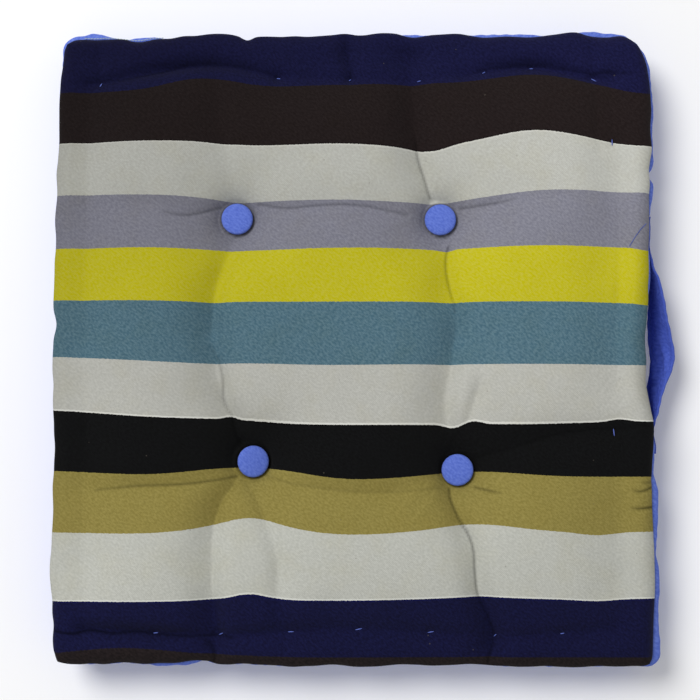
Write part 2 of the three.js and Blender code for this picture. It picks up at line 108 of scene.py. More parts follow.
FRONT_SIDE = [
    (-214, -1.5, 1.4), (-204, -1.5, 1.4), (-192, -1.0, 1.0), (-178, -0.8, 1.3),
    (-164, -1.7, 1.4), (-150, -0.8, 1.4), (-138, -1.3, 2.8), (-126, -1.4, 2.5),
    (-114, -3.0, 3.0), (-104, -2.9, 0.9), (-96, -0.6, 1.2), (-88, -0.6, 1.2),
    (-76, -0.8, 1.2), (-62, 0.0, 1.2), (-46, 0.5, 1.2), (-30, 0.2, 1.2),
    (-14, -0.8, 1.2), (2, 0.4, 1.1), (18, 0.4, 1.2), (34, -0.9, 1.2),
    (50, -0.4, 1.2), (66, -0.3, 1.3), (78, -0.9, 1.3), (88, -0.8, 1.2),
    (100, 0.1, 1.4), (112, 1.1, 1.2), (122, 0.7, 1.1), (132, 0.5, 1.4),
    (146, 0.9, 1.4), (162, 1.4, 1.3), (180, 0.6, 1.2), (198, 0.4, 1.2),
    (214, 1.0, 1.2),
]

# Buttons: where each sits, and how it is tipped about X and Y, in degrees.
TUFTS = {
    "button_upper_left": (-84.0, 92.5, -3, 3),
    "button_upper_right": (63.5, 92.0, -3, -4),
    "button_lower_left": (-72.0, -82.5, 4, 15),
    "button_lower_right": (75.0, -88.5, 5, -5),
}
SEAT_RADIUS = 12.0
TUFT_HALF_RISE = 14.0
TUFT_STEEPNESS = 1.2

# Valleys that the buttons and the tacked edge draw into the filling: depth at the start, middle
# and end, half width to the right and to the left of the line's run, and points along it.
VALLEYS = [
    ((13, 10, 13.5), 19, 12, [(-84, 80), (-91, 57), (-98, 31), (-99, -7), (-94, -35), (-79, -68)]),
    ((12, 9, 10), 17, 11, [(-78, -94), (-94, -112), (-99, -138), (-100, -173), (-97, -226)]),
    ((7, 4, 3), 9, 12, [(-68, -97), (-62, -121), (-53, -156), (-50, -214)]),
    ((9, 6, 3), 12, 17, [(-85, 106), (-90, 130), (-94, 150), (-101, 194)]),
    ((13, 10, 13.5), 19, 11, [(65, 78), (69, 43), (73, 13), (69, -21), (66, -45), (72, -74)]),
    ((12, 8.5, 10), 15, 11, [(72, -102), (79, -129), (87, -156), (92, -180), (98, -205), (95, -226)]),
    ((13, 11, 8), 14, 19, [(60, 105), (48, 132), (45, 152), (41, 206)]),
    ((7, 4, 7), 13, 13, [(-70, 97), (-45, 100), (-9, 103), (26, 99), (50, 94)]),
    ((7, 3, 1), 13, 13, [(77, 96), (98, 102), (130, 107), (180, 108)]),
    ((7, 4, 1), 13, 13, [(-98, 95), (-114, 96), (-140, 101), (-190, 104)]),
    ((7, 5, 7), 13, 13, [(-58, -90), (-37, -99), (-2, -104), (30, -103), (61, -94)]),
    ((7, 5, 3), 13, 13, [(-86, -89), (-122, -98), (-190, -102)]),
    ((7, 5, 3), 13, 13, [(89, -82), (112, -71), (140, -65), (186, -60)]),
    ((5, 7, 5), 7, 7, [(-190, 190), (-182, 191), (-140, 201), (-97, 204), (-54, 195)]),
    ((5, 4, 4), 8, 8, [(-54, 195), (-2, 194), (47, 193), (80, 197)]),
    ((4, 7, 6), 7, 7, [(80, 197), (130, 203), (174, 194), (186, 194)]),
    ((6, 7, 6), 7, 7, [(-190, -201), (-140, -204), (-94, -206)]),
    ((6, 4, 4), 8, 8, [(-94, -206), (3, -201), (101, -206), (186, -201)]),
    ((2, 1.5, 2), 9, 9, [(-190, 190), (-190, 110), (-193, 0), (-190, -60), (-190, -201)]),
    ((1.6, 1.2, 1.6), 9, 9, [(186, 194), (187, 147), (182, 20), (186, -60), (186, -201)]),
    ((6, 6, 5), 8, 8, [(-6, 226), (-4, 208), (-2, 194)]),
]
VALLEY_POWER = 1.6
BLEND_POWER = 2.5
LINE_WIDTH = 1.0

# Folds of the canvas: the same columns, with how crisp each fold is and how dark the painted shade
# along its line is, before the points along it.
FOLDS = [
    ((0.6, 2.6, 1.8), 6, 3, 1, 0.5,
     [(-190, 192), (-169, 193), (-142, 199), (-118, 205), (-95, 205), (-71, 201), (-55, 196)]),
    ((1.4, 1.6, 2.4), 4, 3, 1.2, 0.6, [(-5, 231), (-5, 217), (-4, 209), (-2, 200), (-2, 194)]),
    ((0.5, 2.2, 1.4), 6, 3, 1, 0.4,
     [(76, 194), (93, 200), (118, 204), (140, 204), (162, 200), (173, 198)]),
    ((1.2, 1.2, 0.6), 3, 3, 1, 0.4, [(174, 198), (183, 199), (194, 198), (206, 199)]),
    ((1, 2, 2.2), 6, 4, 1.2, 0.2, [(171, 223), (173, 208), (175, 197)]),
    ((0.8, 1.4, 1), 4, 4, 1.4, 0.1, [(-186, 222), (-184, 206), (-184, 193)]),
    ((2.6, 3.8, 2.4), 8, 6, 1, 0.7, [(56, 108), (54, 113), (51, 123), (47, 135), (45, 150)]),
    ((1.8, 1.2, 0.6), 6, 8, 1.3, 0.15, [(45, 150), (43, 182), (41, 217)]),
    ((2.8, 2.8, 1.2), 8, 4, 1, 0.6, [(69, 73), (67, 65), (67, 53), (70, 37), (72, 30), (73, 24)]),
    ((1.6, 2.6, 1.2), 7, 6, 1.2, 0.1, [(73, 27), (74, 13), (71, -2), (70, -14)]),
    ((0.8, 1.5, 1.2), 7, 7, 2, 0, [(70, -14), (68, -35), (69, -57)]),
    ((0.8, 4.0, 3.0), 6, 7, 1.3, 0.1, [(89, -17), (88, -31), (84, -45), (80, -58)]),
    ((1.0, 2.2, 2.6), 8, 6, 1.3, 0, [(-88, 74), (-94, 57), (-98, 44), (-100, 30), (-101, 10)]),
    ((1.8, 4.4, 3.6), 7, 8, 1, 0.5,
     [(-100, -3), (-95, -15), (-93, -26), (-93, -37), (-90, -45), (-87, -50), (-84, -63), (-80, -72)]),
    ((2.4, 2.8, 1.8), 7, 5, 1.3, 0.25,
     [(-86, -99), (-91, -106), (-95, -113), (-98, -121), (-100, -128), (-101, -138)]),
    ((2, 2.4, 2.2), 8, 5, 1.2, 0.15,
     [(-101, -137), (-101, -152), (-101, -174), (-98, -183), (-96, -202)]),
    ((0.8, 1.6, 1), 4, 8, 1.5, 0.1, [(-79, -96), (-73, -104), (-68, -114), (-64, -124)]),
    ((1.4, 2.0, 0.8), 7, 7, 1.3, 0, [(-64, -124), (-56, -138), (-53, -156), (-54, -173), (-54, -199)]),
    ((0.6, 2, 2.4), 3, 3, 1.2, 0.7, [(-106, -208), (-102, -211), (-99, -216), (-98, -224)]),
    ((3.0, 3.6, 3.2), 7, 5, 1, 0.75,
     [(69, -102), (69, -107), (71, -114), (76, -125), (81, -133), (85, -145), (86, -159)]),
    ((3.2, 3, 2.8), 7, 5, 1, 0.7, [(86, -157), (87, -170), (89, -179), (94, -188), (98, -199)]),
    ((2.8, 2.8, 2.8), 7, 4, 1, 0.6, [(98, -197), (100, -206), (98, -215), (95, -224)]),
    ((0.5, 1.4, 1.2), 2, 4, 1, 0.6, [(-183, -103), (-151, -100), (-123, -99), (-98, -96), (-83, -93)]),
    ((1, 0.7, 0.6), 3, 4, 1.2, 0.25,
     [(-63, -92), (-45, -98), (-27, -101), (0, -104), (35, -104), (62, -101)]),
    ((0.5, 1.3, 1.0), 2, 3, 1, 0.5, [(-136, 96), (-122, 94), (-110, 96), (-96, 101)]),
    ((0.9, 1.3, 0.8), 2, 3, 1, 0.5,
     [(-69, 103), (-49, 99), (-31, 100), (-9, 101), (9, 100), (27, 97), (39, 95)]),
    ((0.9, 1.2, 0.2), 2, 3, 1, 0.55, [(78, 100), (91, 101), (106, 103), (116, 105)]),
    ((0.7, 1.2, 0.4), 3, 5, 1, 0.5, [(87, -80), (115, -72), (151, -62), (187, -59), (214, -57)]),
    ((0.6, 0.8, 0.2), 2, 2, 1.2, 0.6, [(87, -101), (95, -103), (104, -105)]),
    ((0.3, 1, 0.8), 5, 5, 1.5, 0, [(40, -122), (49, -110), (62, -102)]),
    ((1.8, 1.8, 1.6), 2.5, 5, 1, 0.85,
     [(-215, -200), (-207, -203), (-197, -204), (-187, -202), (-170, -204), (-155, -203), (-144, -204)]),
    ((1.6, 1.4, 0.8), 2.5, 5, 1, 0.75,
     [(-144, -204), (-133, -205), (-123, -206), (-109, -206), (-91, -206), (-85, -208)]),
    ((0.1, 1.6, 2.4), 2, 2, 1.2, 0.85, [(198, -103), (205, -104), (213, -101)]),
    ((0.1, 1.6, 2.4), 2, 2, 1.2, 0.95, [(197, -116), (204, -116), (214, -115)]),
    ((0.1, 0.9, 1.4), 2, 2, 1.2, 0.6, [(205, -97), (209, -98), (214, -97)]),
    ((0.2, 0.9, 0.3), 4, 9, 1.4, 0, [(190, 60), (190, 33), (188, 8)]),
    ((0.4, 1.6, 0.8), 5, 5, 1.6, 0, [(175, 194), (176, 174), (177, 155), (178, 141)]),
]

# Tack stitches along the rolled edge: where each sits, which way it lies and its length, 0 where
# the thread has sunk out of sight.
TACKS = [
    (-183, 190, 60, 3.2), (-54, 195, -5, 3.2), (-2, 194, 40, 2.6), (48, 193, 10, 2.8),
    (95, 199, 30, 2.6), (130, 203, 0, 2.6), (175, 194, -30, 4.0), (-140, -204, 5, 3.2),
    (-94, -205, 25, 3.2), (-44, -203, 2, 4.0), (4, -201, 12, 5.0), (55, -203, 10, 5.0),
    (101, -206, 45, 2.6), (148, -204, 10, 3.5), (187, 147, 90, 4.5), (186, -62, 95, 5.5),
    (-190, -60, 90, 0),
]


def smooth_between(places, values, wanted):
    """Values at the wanted places, on a smooth curve through the given ones, along axis 0."""
    places = np.asarray(places, float)
    values = np.asarray(values, float)
    wanted = np.clip(wanted, places[0], places[-1])
    shape = (-1,) + (1,) * (values.ndim - 1)
    slopes = np.empty_like(values)
    slopes[1:-1] = (values[2:] - values[:-2]) / (places[2:] - places[:-2]).reshape(shape)
    slopes[0] = (values[1] - values[0]) / (places[1] - places[0])
    slopes[-1] = (values[-1] - values[-2]) / (places[-1] - places[-2])
    i = np.clip(np.searchsorted(places, wanted) - 1, 0, len(places) - 2)
    span = places[i + 1] - places[i]
    t = (wanted - places[i]) / span
    if values.ndim > 1:
        t = t.reshape(shape)
        span = span.reshape(shape)
    return (
        values[i] * (1 + 2 * t) * (1 - t) ** 2
        + values[i + 1] * t * t * (3 - 2 * t)
        + slopes[i] * span * t * (1 - t) ** 2
        - slopes[i + 1] * span * t * t * (1 - t)
    )


def side_value(side, places, column):
    """One column of a side's table at places along that side."""
    table = np.array(side, float)
    return smooth_between(table[:, 0], table[:, column], places)


def side_values(x, y, column):
    """One column of the tables of the sides beside and behind points."""
    beside = np.where(x < 0, side_value(LEFT_SIDE, y, column), side_value(RIGHT_SIDE, y, column))
    behind = np.where(y < 0, side_value(FRONT_SIDE, x, column), side_value(BACK_SIDE, x, column))
    return beside, behind


def smooth_step(t):
    """A soft step from 0 to 1."""
    t = np.clip(t, 0, 1)
    return t * t * (3 - 2 * t)


def bell(distance, width, power=2):
    """A soft hump: 1 at no distance and close to 0 well past the width."""
    return np.exp(-(np.abs(distance / width) ** power))


def on_pad(flat_x, flat_y):
    """Where points of the plain rectangle lie on the real pad, with its corners and sides."""
    back = np.where(flat_x < 0, CORNER_RADII["back_left"], CORNER_RADII["back_right"])
    front = np.where(flat_x < 0, CORNER_RADII["front_left"], CORNER_RADII["front_right"])
    radius = np.where(flat_y < 0, front, back)
    a = (np.abs(flat_x) - HALF_WIDTH + radius) / radius
    b = (np.abs(flat_y) - HALF_DEPTH + radius) / radius
    corner = (a > 0) & (b > 0)
    a = np.where(corner, a, 0)
    b = np.where(corner, b, 0)
    round_x = HALF_WIDTH - radius + radius * a * np.sqrt(1 - b * b / 2)
    round_y = HALF_DEPTH - radius + radius * b * np.sqrt(1 - a * a / 2)
    x = np.where(corner, np.sign(flat_x) * round_x, flat_x)
    y = np.where(corner, np.sign(flat_y) * round_y, flat_y)
    beside, behind = side_values(x, y, 1)
    sideways = beside * np.abs(x / HALF_WIDTH) ** 4
    lengthways = behind * np.abs(y / HALF_DEPTH) ** 4
    return x + np.sign(x) * sideways, y + np.sign(y) * lengthways


def near_line(points, x, y):
    """How far points lie from a smooth line, how far along it, and to which side."""
    points = np.array(points, float)
    chords = np.hypot(*np.diff(points, axis=0).T)
    reach = np.concatenate([[0], np.cumsum(chords)])
    line = smooth_between(reach, points, np.linspace(0, reach[-1], 25))
    nearest = np.full(x.shape, np.inf)
    along = np.zeros(x.shape)
    side = np.zeros(x.shape)
    for k, ((ax, ay), (bx, by)) in enumerate(zip(line[:-1], line[1:])):
        dx = bx - ax
        dy = by - ay
        t = np.clip(((x - ax) * dx + (y - ay) * dy) / (dx * dx + dy * dy), 0, 1)
        distance = np.hypot(x - ax - t * dx, y - ay - t * dy)
        closer = distance < nearest
        nearest = np.where(closer, distance, nearest)
        along = np.where(closer, (k + t) / (len(line) - 1), along)
        side = np.where(closer, dx * (y - ay) - dy * (x - ax), side)
    return nearest, along, side


def groove(depths, width_right, width_left, power, points, x, y):
    """How deep a valley or fold is at each point, and how dark the painted shade along its bottom is."""
    nearest, along, side = near_line(points, x, y)
    start, middle, end = depths
    first = start + (middle - start) * smooth_step(along * 2)
    second = middle + (end - middle) * smooth_step(along * 2 - 1)
    deepest = np.where(along < 0.5, first, second)
    width = np.where(side < 0, width_right, width_left)
    # Painted shade along the line at the bottom of the fold.
    line = np.sqrt(deepest / max(depths)) * bell(nearest, LINE_WIDTH)
    return deepest * bell(nearest, width, power), line


def valley_depth(valley, x, y, power):
    """How deep a valley is at each point."""
    depths, width_right, width_left, points = valley
    return groove(depths, width_right, width_left, power, points, x, y)[0]


def to_edge(flat_x, flat_y):
    """How far points lie inside the plain rectangle."""
    return np.minimum(HALF_WIDTH - np.abs(flat_x), HALF_DEPTH - np.abs(flat_y))


def from_buttons(x, y):
    """How far points lie from each button."""
    return [np.hypot(x - tuft_x, y - tuft_y) for tuft_x, tuft_y, _, _ in TUFTS.values()]


def top_height(flat_x, flat_y, x, y):
    """Height of the striped top, with its roll, crown, tufts and valleys."""
    in_x = HALF_WIDTH - np.abs(flat_x)
    in_y = HALF_DEPTH - np.abs(flat_y)
    inside = np.minimum(in_x, in_y)
    shoulder = 1 - np.minimum(inside, ROLL_WIDTH) / ROLL_WIDTH
    roll = SEAM_Z + (ROLL_Z - SEAM_Z) * np.sqrt(1 - shoulder * shoulder)
    rise_x = smooth_step((in_x - CROWN_START) / (CROWN_END - CROWN_START))
    rise_y = smooth_step((in_y - CROWN_START) / (CROWN_END - CROWN_START))
    crown = CROWN_RISE * np.sqrt(rise_x * rise_y)
    depths = [valley_depth(valley, x, y, VALLEY_POWER) for valley in VALLEYS]
    full = CROWN_RISE + ROLL_Z - SEAT_Z
    for away in from_buttons(x, y):
        past = np.maximum(0, away - SEAT_RADIUS)
        depths.append(full / (1 + (past / TUFT_HALF_RISE) ** TUFT_STEEPNESS))
    pull = sum(depth**BLEND_POWER for depth in depths) ** (1 / BLEND_POWER)
    return np.maximum(SEAT_Z, roll + crown - pull * np.clip(inside / ROLL_WIDTH, 0, 1))


def grid_lines(half, step, creased=()):
    """Lines from seam to seam, closer over the steep edge and where the cloth is creased."""
    edge = np.array([0, 0.25, 0.75, 1.5]) * step
    places = [2.5 * step - half]
    while places[-1] < half - 2.5 * step:
        close = any(first < places[-1] < last for first, last in creased)
        places.append(places[-1] + (step / 2 if close else step))
    inner = np.array(places)
    inner *= (half - 2.5 * step) / inner[-1] if inner[-1] > 0 else 1
    inner[0] = 2.5 * step - half
    return np.concatenate([-half + edge, inner, (half - edge)[::-1]])


def striped_top(step, creased_columns=(), creased_rows=()):
    """The striped top as a grid of points, with the flat lines it is made on."""
    columns = grid_lines(HALF_WIDTH, step, creased_columns)
    rows = grid_lines(HALF_DEPTH, step, creased_rows)
    flat_x, flat_y = np.meshgrid(columns, rows)
    x, y = on_pad(flat_x, flat_y)
    return columns, rows, np.dstack([x, y, top_height(flat_x, flat_y, x, y)])


def grid_faces(row_count, column_count, first=0):
    """Quads of a grid of points, facing up where rows run along +Y and columns along +X."""
    index = np.arange(row_count * column_count).reshape(row_count, column_count) + first
    quads = [index[:-1, :-1], index[:-1, 1:], index[1:, 1:], index[1:, :-1]]
    return np.stack(quads, axis=-1).reshape(-1, 4).tolist()


def new_piece(name, points, faces):
    """A mesh object from points in millimetres."""
    mesh = bpy.data.meshes.new(name)
    mesh.from_pydata((np.asarray(points, float).reshape(-1, 3) * MM).tolist(), [], faces)
    mesh.update()
    piece = bpy.data.objects.new(name, mesh)
    bpy.context.scene.collection.objects.link(piece)
    return piece


# The cloth settles over its filling: thread holds it in places, and it swells in between.
SETTLE_STEP = 4.0
SETTLE_FRAMES = 20
MOST_SWELL = 5.0
CANVAS_SETTINGS = {
    "quality": 5,
    "mass": 0.3,
    "tension_stiffness": 15,
    "compression_stiffness": 15,
    "shear_stiffness": 5,
    "bending_stiffness": 1.5,
    "use_pressure": True,
    "uniform_pressure_force": 4.0,
    "vertex_group_mass": "held",
    "pin_stiffness": 1.0,
    "shrink_min": -0.02,
}
HELD_ANYWHERE = 0.02
HELD_BY_VALLEY = 0.3
HELD_MOST = 0.6
IRONINGS = 9


def settled(start, held):
    """How far the filling presses each point of the top out, from a cloth simulation."""
    cloth = new_piece("settling_cloth", start, grid_faces(*start.shape[:2]))
    group = cloth.vertex_groups.new(name="held")
    for i, weight in enumerate(held.ravel()):
        group.add([i], float(weight), "REPLACE")
    modifier = cloth.modifiers.new("cloth", "CLOTH")
    for setting, value in CANVAS_SETTINGS.items():
        setattr(modifier.settings, setting, value)
    modifier.settings.effector_weights.gravity = 0
    modifier.collision_settings.use_collision = False
    modifier.collision_settings.use_self_collision = False
    modifier.point_cache.frame_start = 1
    modifier.point_cache.frame_end = SETTLE_FRAMES
    for number in range(1, SETTLE_FRAMES + 1):
        bpy.context.scene.frame_set(number)
    evaluated = cloth.evaluated_get(bpy.context.evaluated_depsgraph_get())
    after = np.empty(start.size)
    evaluated.data.vertices.foreach_get("co", after)
    mesh = cloth.data
    bpy.data.objects.remove(cloth)
    bpy.data.meshes.remove(mesh)
    bpy.context.scene.frame_set(1)
    moved = after.reshape(start.shape) / MM - start
    length = np.linalg.norm(moved, axis=2, keepdims=True)
    moved *= np.minimum(1, MOST_SWELL / np.maximum(length, 1e-6))
    # Heavy canvas does not wrinkle as finely as the simulated sheet, so that is ironed out.
    for _ in range(IRONINGS):
        moved[1:-1] = 0.25 * moved[:-2] + 0.5 * moved[1:-1] + 0.25 * moved[2:]
        moved[:, 1:-1] = 0.25 * moved[:, :-2] + 0.5 * moved[:, 1:-1] + 0.25 * moved[:, 2:]
    return moved


coarse_columns, coarse_rows, coarse_top = striped_top(SETTLE_STEP)
coarse_x = coarse_top[..., 0]
coarse_y = coarse_top[..., 1]
held = sum(valley_depth(v, coarse_x, coarse_y, 2) / max(v[0]) for v in VALLEYS)
held = np.minimum(HELD_ANYWHERE + HELD_BY_VALLEY * held, HELD_MOST)
for away in from_buttons(coarse_x, coarse_y):
    held[away < SEAT_RADIUS] = 1
held[[0, -1]] = 1
held[:, [0, -1]] = 1
swelling = settled(coarse_top, held)


def lumps(columns, rows, cell, seed):
    """Uneven filling: soft heights of about -1 to 1, one to a cell."""
    random = np.random.default_rng(seed)
    along_x = np.arange(columns[0] - cell, columns[-1] + 2 * cell, cell)
    along_y = np.arange(rows[0] - cell, rows[-1] + 2 * cell, cell)
    heights = random.uniform(-1, 1, (len(along_y), len(along_x)))
    return smooth_between(along_x, smooth_between(along_y, heights, rows).T, columns).T


TOP_STEP = 2.0
CREASED_COLUMNS = [(-106, -48), (38, 106)]
CREASED_ROWS = [(-212, -198), (-122, -90), (90, 110), (188, 208)]
# Height, cell and seed of the lumps of the filling and of the unevenness of the rolled edge.
FILLING_LUMPS = [(0.55, 38, 3), (0.10, 13, 5)]
EDGE_LUMPS = [(0.5, 27, 8), (0.35, 9, 9)]
TACK_DEPTH = 1.3
TACK_WIDTH = 3.6
columns, rows, top = striped_top(TOP_STEP, CREASED_COLUMNS, CREASED_ROWS)
along_rows = smooth_between(coarse_rows, swelling, rows)
top += smooth_between(coarse_columns, along_rows.swapaxes(0, 1), columns).swapaxes(0, 1)
near_edge = to_edge(columns[None, :], rows[:, None])
free = np.clip(near_edge / ROLL_WIDTH, 0, 1)
for away in from_buttons(top[..., 0], top[..., 1]):
    free *= smooth_step((away - SEAT_RADIUS + 4) / 8)
top[..., 2] += free * sum(high * lumps(columns, rows, *lump) for high, *lump in FILLING_LUMPS)
# Painted shade along the bottom of each fold, kept apart from the depth, darkens the colour there.
painted_shade = np.zeros(top.shape[:2])
drop = np.zeros(top.shape[:2])
for depths, width_right, width_left, power, line_shade, line in FOLDS:
    depth, dark = groove(depths, width_right, width_left, power, line, top[..., 0], top[..., 1])
    drop = np.maximum(drop, depth)
    painted_shade = np.maximum(painted_shade, line_shade * dark)
top[..., 2] -= free * drop
for tack_x, tack_y, _, _ in TACKS:
    away = np.hypot(top[..., 0] - tack_x, top[..., 1] - tack_y)
    top[..., 2] -= TACK_DEPTH * bell(away, TACK_WIDTH, 1.5)

# Each button presses its own flat seat, tipped as the button is, with a ring of painted shade at its rim.
RIM_PAINTED_SHADE = 0.8
RIM_RADIUS = 11.7
RIM_WIDTH = 1.1
for tuft_x, tuft_y, tip_x, tip_y in TUFTS.values():
    from_x = top[..., 0] - tuft_x
    from_y = top[..., 1] - tuft_y
    seat = SEAT_Z + from_y * sin(radians(tip_x)) - from_x * sin(radians(tip_y))
    away = np.hypot(from_x, from_y)
    pressed = 1 - smooth_step((away - SEAT_RADIUS) / 3)
    painted_shade = np.maximum(painted_shade, RIM_PAINTED_SHADE * bell(away - RIM_RADIUS, RIM_WIDTH))
    top[..., 2] += pressed * (seat - top[..., 2])

# The striped cloth rolls over its seam, more in some places than in others, and hides it.
OVERHANG = 1.9
OVERHANG_Z = 44.5
OVERHANG_HEIGHT = 3.2
OVERHANG_REACH = 7


def hiding(roll_out):
    """How far the striped cloth covers the band: fully, or not where the band rolls out."""
    return np.clip(1.8 - roll_out / 2, 0, 1)


seam_side, seam_end = side_values(top[..., 0], top[..., 1], 2)
uneven = 0.75 + sum(high * lumps(columns, rows, *lump) for high, *lump in EDGE_LUMPS)
push = OVERHANG * bell(top[..., 2] - OVERHANG_Z, OVERHANG_HEIGHT) * uneven * bell(near_edge, 6)
to_side = bell(HALF_WIDTH - np.abs(columns)[None, :], OVERHANG_REACH)
to_end = bell(HALF_DEPTH - np.abs(rows)[:, None], OVERHANG_REACH)
top[..., 0] += np.sign(top[..., 0]) * push * hiding(seam_side) * to_side
top[..., 1] += np.sign(top[..., 1]) * push * hiding(seam_end) * to_end

# The stripes run across the cloth. Where the cloth is drawn in, they bend: centre, reach across
# and along, and how far the stripe lies from where it would be on flat cloth.
PULLS = [
    (-230, -42, 81, 66, 8.0), (130, 184, 37, 66, 7.3), (-188, 173, 110, 22, -8.0), (211, 174, 30, 36, -7.2),
    (-62, 129, 54, 51, -5.0), (47, 124, 67, 27, -9.4), (198, 93, 103, 17, 7.2), (-69, -98, 47, 50, 12.8),
    (-68, -70, 42, 17, -10.9), (89, -119, 39, 51, 5.5), (-27, -97, 54, 70, -4.0), (172, -153, 18, 30, -3.3),
    (-108, 180, 28, 21, 9.2), (-165, -207, 84, 14, 10.5), (-73, -158, 17, 37, 4.9), (212, 50, 10, 18, -5.1),
    (-183, -172, 110, 70, -2.4), (89, -67, 81, 14, -6.3), (58, 146, 13, 15, -2.4), (67, 69, 6, 8, -1.2),
    (-88, -50, 6, 10, 1.6), (71, -56, 7, 10, -1.8), (86, -55, 7, 10, 1.5), (190, -53, 9, 10, 1.8),
]


def along_cloth(x, y):
    """How far along the flat cloth a point lies, so that stripes bend as the cloth does."""
    along = y.copy()
    for centre_x, centre_y, reach_x, reach_y, shift in PULLS:
        away = ((x - centre_x) / reach_x) ** 2 + ((y - centre_y) / reach_y) ** 2
        along -= shift * np.exp(-away)
    return along


def grid_rim(row_count, column_count):
    """Indices round the edge of a grid, once round against the clock."""
    index = np.arange(row_count * column_count).reshape(row_count, column_count)
    sides = [index[0, :-1], index[:-1, -1], index[-1, :0:-1], index[:0:-1, 0]]
    return np.concatenate(sides)


def ring_faces(upper, lower):
    """Quads between two rings of indices, facing outwards where the lower ring is below."""
    next_upper = np.roll(upper, -1)
    next_lower = np.roll(lower, -1)
    return np.column_stack([upper, lower, next_lower, next_upper]).tolist()


DIMPLE_RADIUS = 30.0
DIMPLE_HEIGHT = 6.0


def under_height(x, y):
    """How far the button threads draw the underside up."""
    height = np.zeros(np.shape(x))
    for away in from_buttons(x, y):
        share = np.clip(away / DIMPLE_RADIUS, 0, 1)
        height += DIMPLE_HEIGHT * (1 - share * share) ** 2
    return height


# Below its seam the pad is filling inside the band, so its sides are plain and hidden.
INSIDE_RINGS = [(2.2, SEAM_Z - 0.2), (6.2, 31), (6.6, 14), (8.0, CLOTH + GAP + 0.4)]
flat_x, flat_y = np.meshgrid(columns, rows)
rim = grid_rim(*top.shape[:2])
rim_x = flat_x.ravel()[rim]
rim_y = flat_y.ravel()[rim]
seam_x, seam_y = on_pad(rim_x, rim_y)


def inside_ring(inset, z):
    """A ring of points a little inside the seam."""
    x = seam_x * (1 - inset / HALF_WIDTH)
    y = seam_y * (1 - inset / HALF_DEPTH)
    return np.column_stack([x, y, np.broadcast_to(z, x.shape)])


rings = [inside_ring(*ring) for ring in INSIDE_RINGS]
for share in np.linspace(0.93, 0.06, 16):
    x = seam_x * share
    y = seam_y * share
    rings.append(np.column_stack([x, y, CLOTH + GAP + 0.4 + 1.2 * under_height(x, y)]))
points = [top.reshape(-1, 3)] + rings + [np.array([[0, 0, CLOTH + GAP + 0.4]])]
faces = grid_faces(*top.shape[:2])
upper = rim
first = top.shape[0] * top.shape[1]
for ring in rings:
    lower = np.arange(first, first + len(ring))
    faces += ring_faces(upper, lower)
    upper = lower
    first += len(ring)
faces += [[a, first, b] for a, b in zip(upper.tolist(), np.roll(upper, -1).tolist())]
points = np.concatenate(points)
pad = new_piece("striped_pad", points, faces)


def lay_cloth_map(piece, across, along, name="cloth"):
    """Write where each point lies on the cloth, in metres, as a UV map of the piece."""
    layer = piece.data.uv_layers.new(name=name)
    corners = np.empty(len(piece.data.loops), int)
    piece.data.loops.foreach_get("vertex_index", corners)
    pairs = np.column_stack([np.ravel(across)[corners], np.ravel(along)[corners]]) * MM
    layer.data.foreach_set("uv", pairs.ravel())


def smooth_shade(piece):
    """Smooth shading all over."""
    piece.data.polygons.foreach_set("use_smooth", np.ones(len(piece.data.polygons), bool))


lay_cloth_map(pad, points[:, 0], points[:, 1])
lay_cloth_map(pad, points[:, 0], along_cloth(points[:, 0], points[:, 1]), "stripes")
smooth_shade(pad)
# Painted shade kept on the points: along the rolled edge, most on the right by the handle, and along the
# folds and round the button rims.
by_handle = bell(top[..., 1] - 15, 75, 4) * (top[..., 0] > 0)
edge_shade = bell(near_edge, 7, 1.5) * (0.45 + 0.75 * by_handle)
for name, values, below in (("painted_edge_shade", edge_shade, 1.0), ("painted_shade", painted_shade, 0.0)):
    shades = np.full(len(points), below)
    shades[: values.size] = values.ravel()
    pad.data.attributes.new(name, "FLOAT", "POINT").data.foreach_set("value", shades)


def dye(*colour):
    """A cloth colour, given as an eye sees it on a scale of 255, in the shader's own scale."""
    shares = [value / 255 for value in colour]
    return (*(s / 12.92 if s < 0.04045 else ((s + 0.055) / 1.055) ** 2.4 for s in shares), 1)


def add_node(tree, kind, inputs=(), **settings):
    """A node with its settings, and with sockets or plain values for its inputs."""
    node = tree.nodes.new(kind)
    for name, value in settings.items():
        setattr(node, name, value)
    for name, value in dict(inputs).items():
        if isinstance(value, bpy.types.NodeSocket):
            tree.links.new(value, node.inputs[name])
        else:
            node.inputs[name].default_value = value
    return node


def add_socket(tree, in_out, name, kind, default=None):
    """A named input or output of a node group."""
    socket = tree.interface.new_socket(name, in_out=in_out, socket_type="NodeSocket" + kind)
    if default is not None:
        socket.default_value = default


def math_node(tree, operation, *values):
    """The result of a Math node fed with sockets or plain numbers."""
    return add_node(tree, "ShaderNodeMath", enumerate(values), operation=operation).outputs[0]


def noise_node(tree, place, scale, detail=2, roughness=0.5):
    """The value of a Noise Texture read at a place."""
    inputs = {"Vector": place, "Scale": scale, "Detail": detail, "Roughness": roughness}
    return add_node(tree, "ShaderNodeTexNoise", inputs).outputs["Fac"]


def stretched(tree, place, across, along):
    """A place on the cloth stretched along its two directions."""
    inputs = {0: place, 1: (across, along, 1)}
    return add_node(tree, "ShaderNodeVectorMath", inputs, operation="MULTIPLY").outputs[0]


def part_of(tree, vector, axis):
    """One of the three parts of a vector."""
    return add_node(tree, "ShaderNodeSeparateXYZ", {0: vector}).outputs[axis]


def mixed(tree, kind, share, first, second):
    """A colour mixed from two colours."""
    inputs = {0: share, 6: first, 7: second}
    node = add_node(tree, "ShaderNodeMix", inputs, data_type="RGBA", blend_type=kind)
    return node.outputs[2]


def scaled(tree, colour, gain):
    """A colour made lighter or darker by a gain."""
    inputs = {0: colour, "Scale": gain}
    return add_node(tree, "ShaderNodeVectorMath", inputs, operation="SCALE").outputs[0]


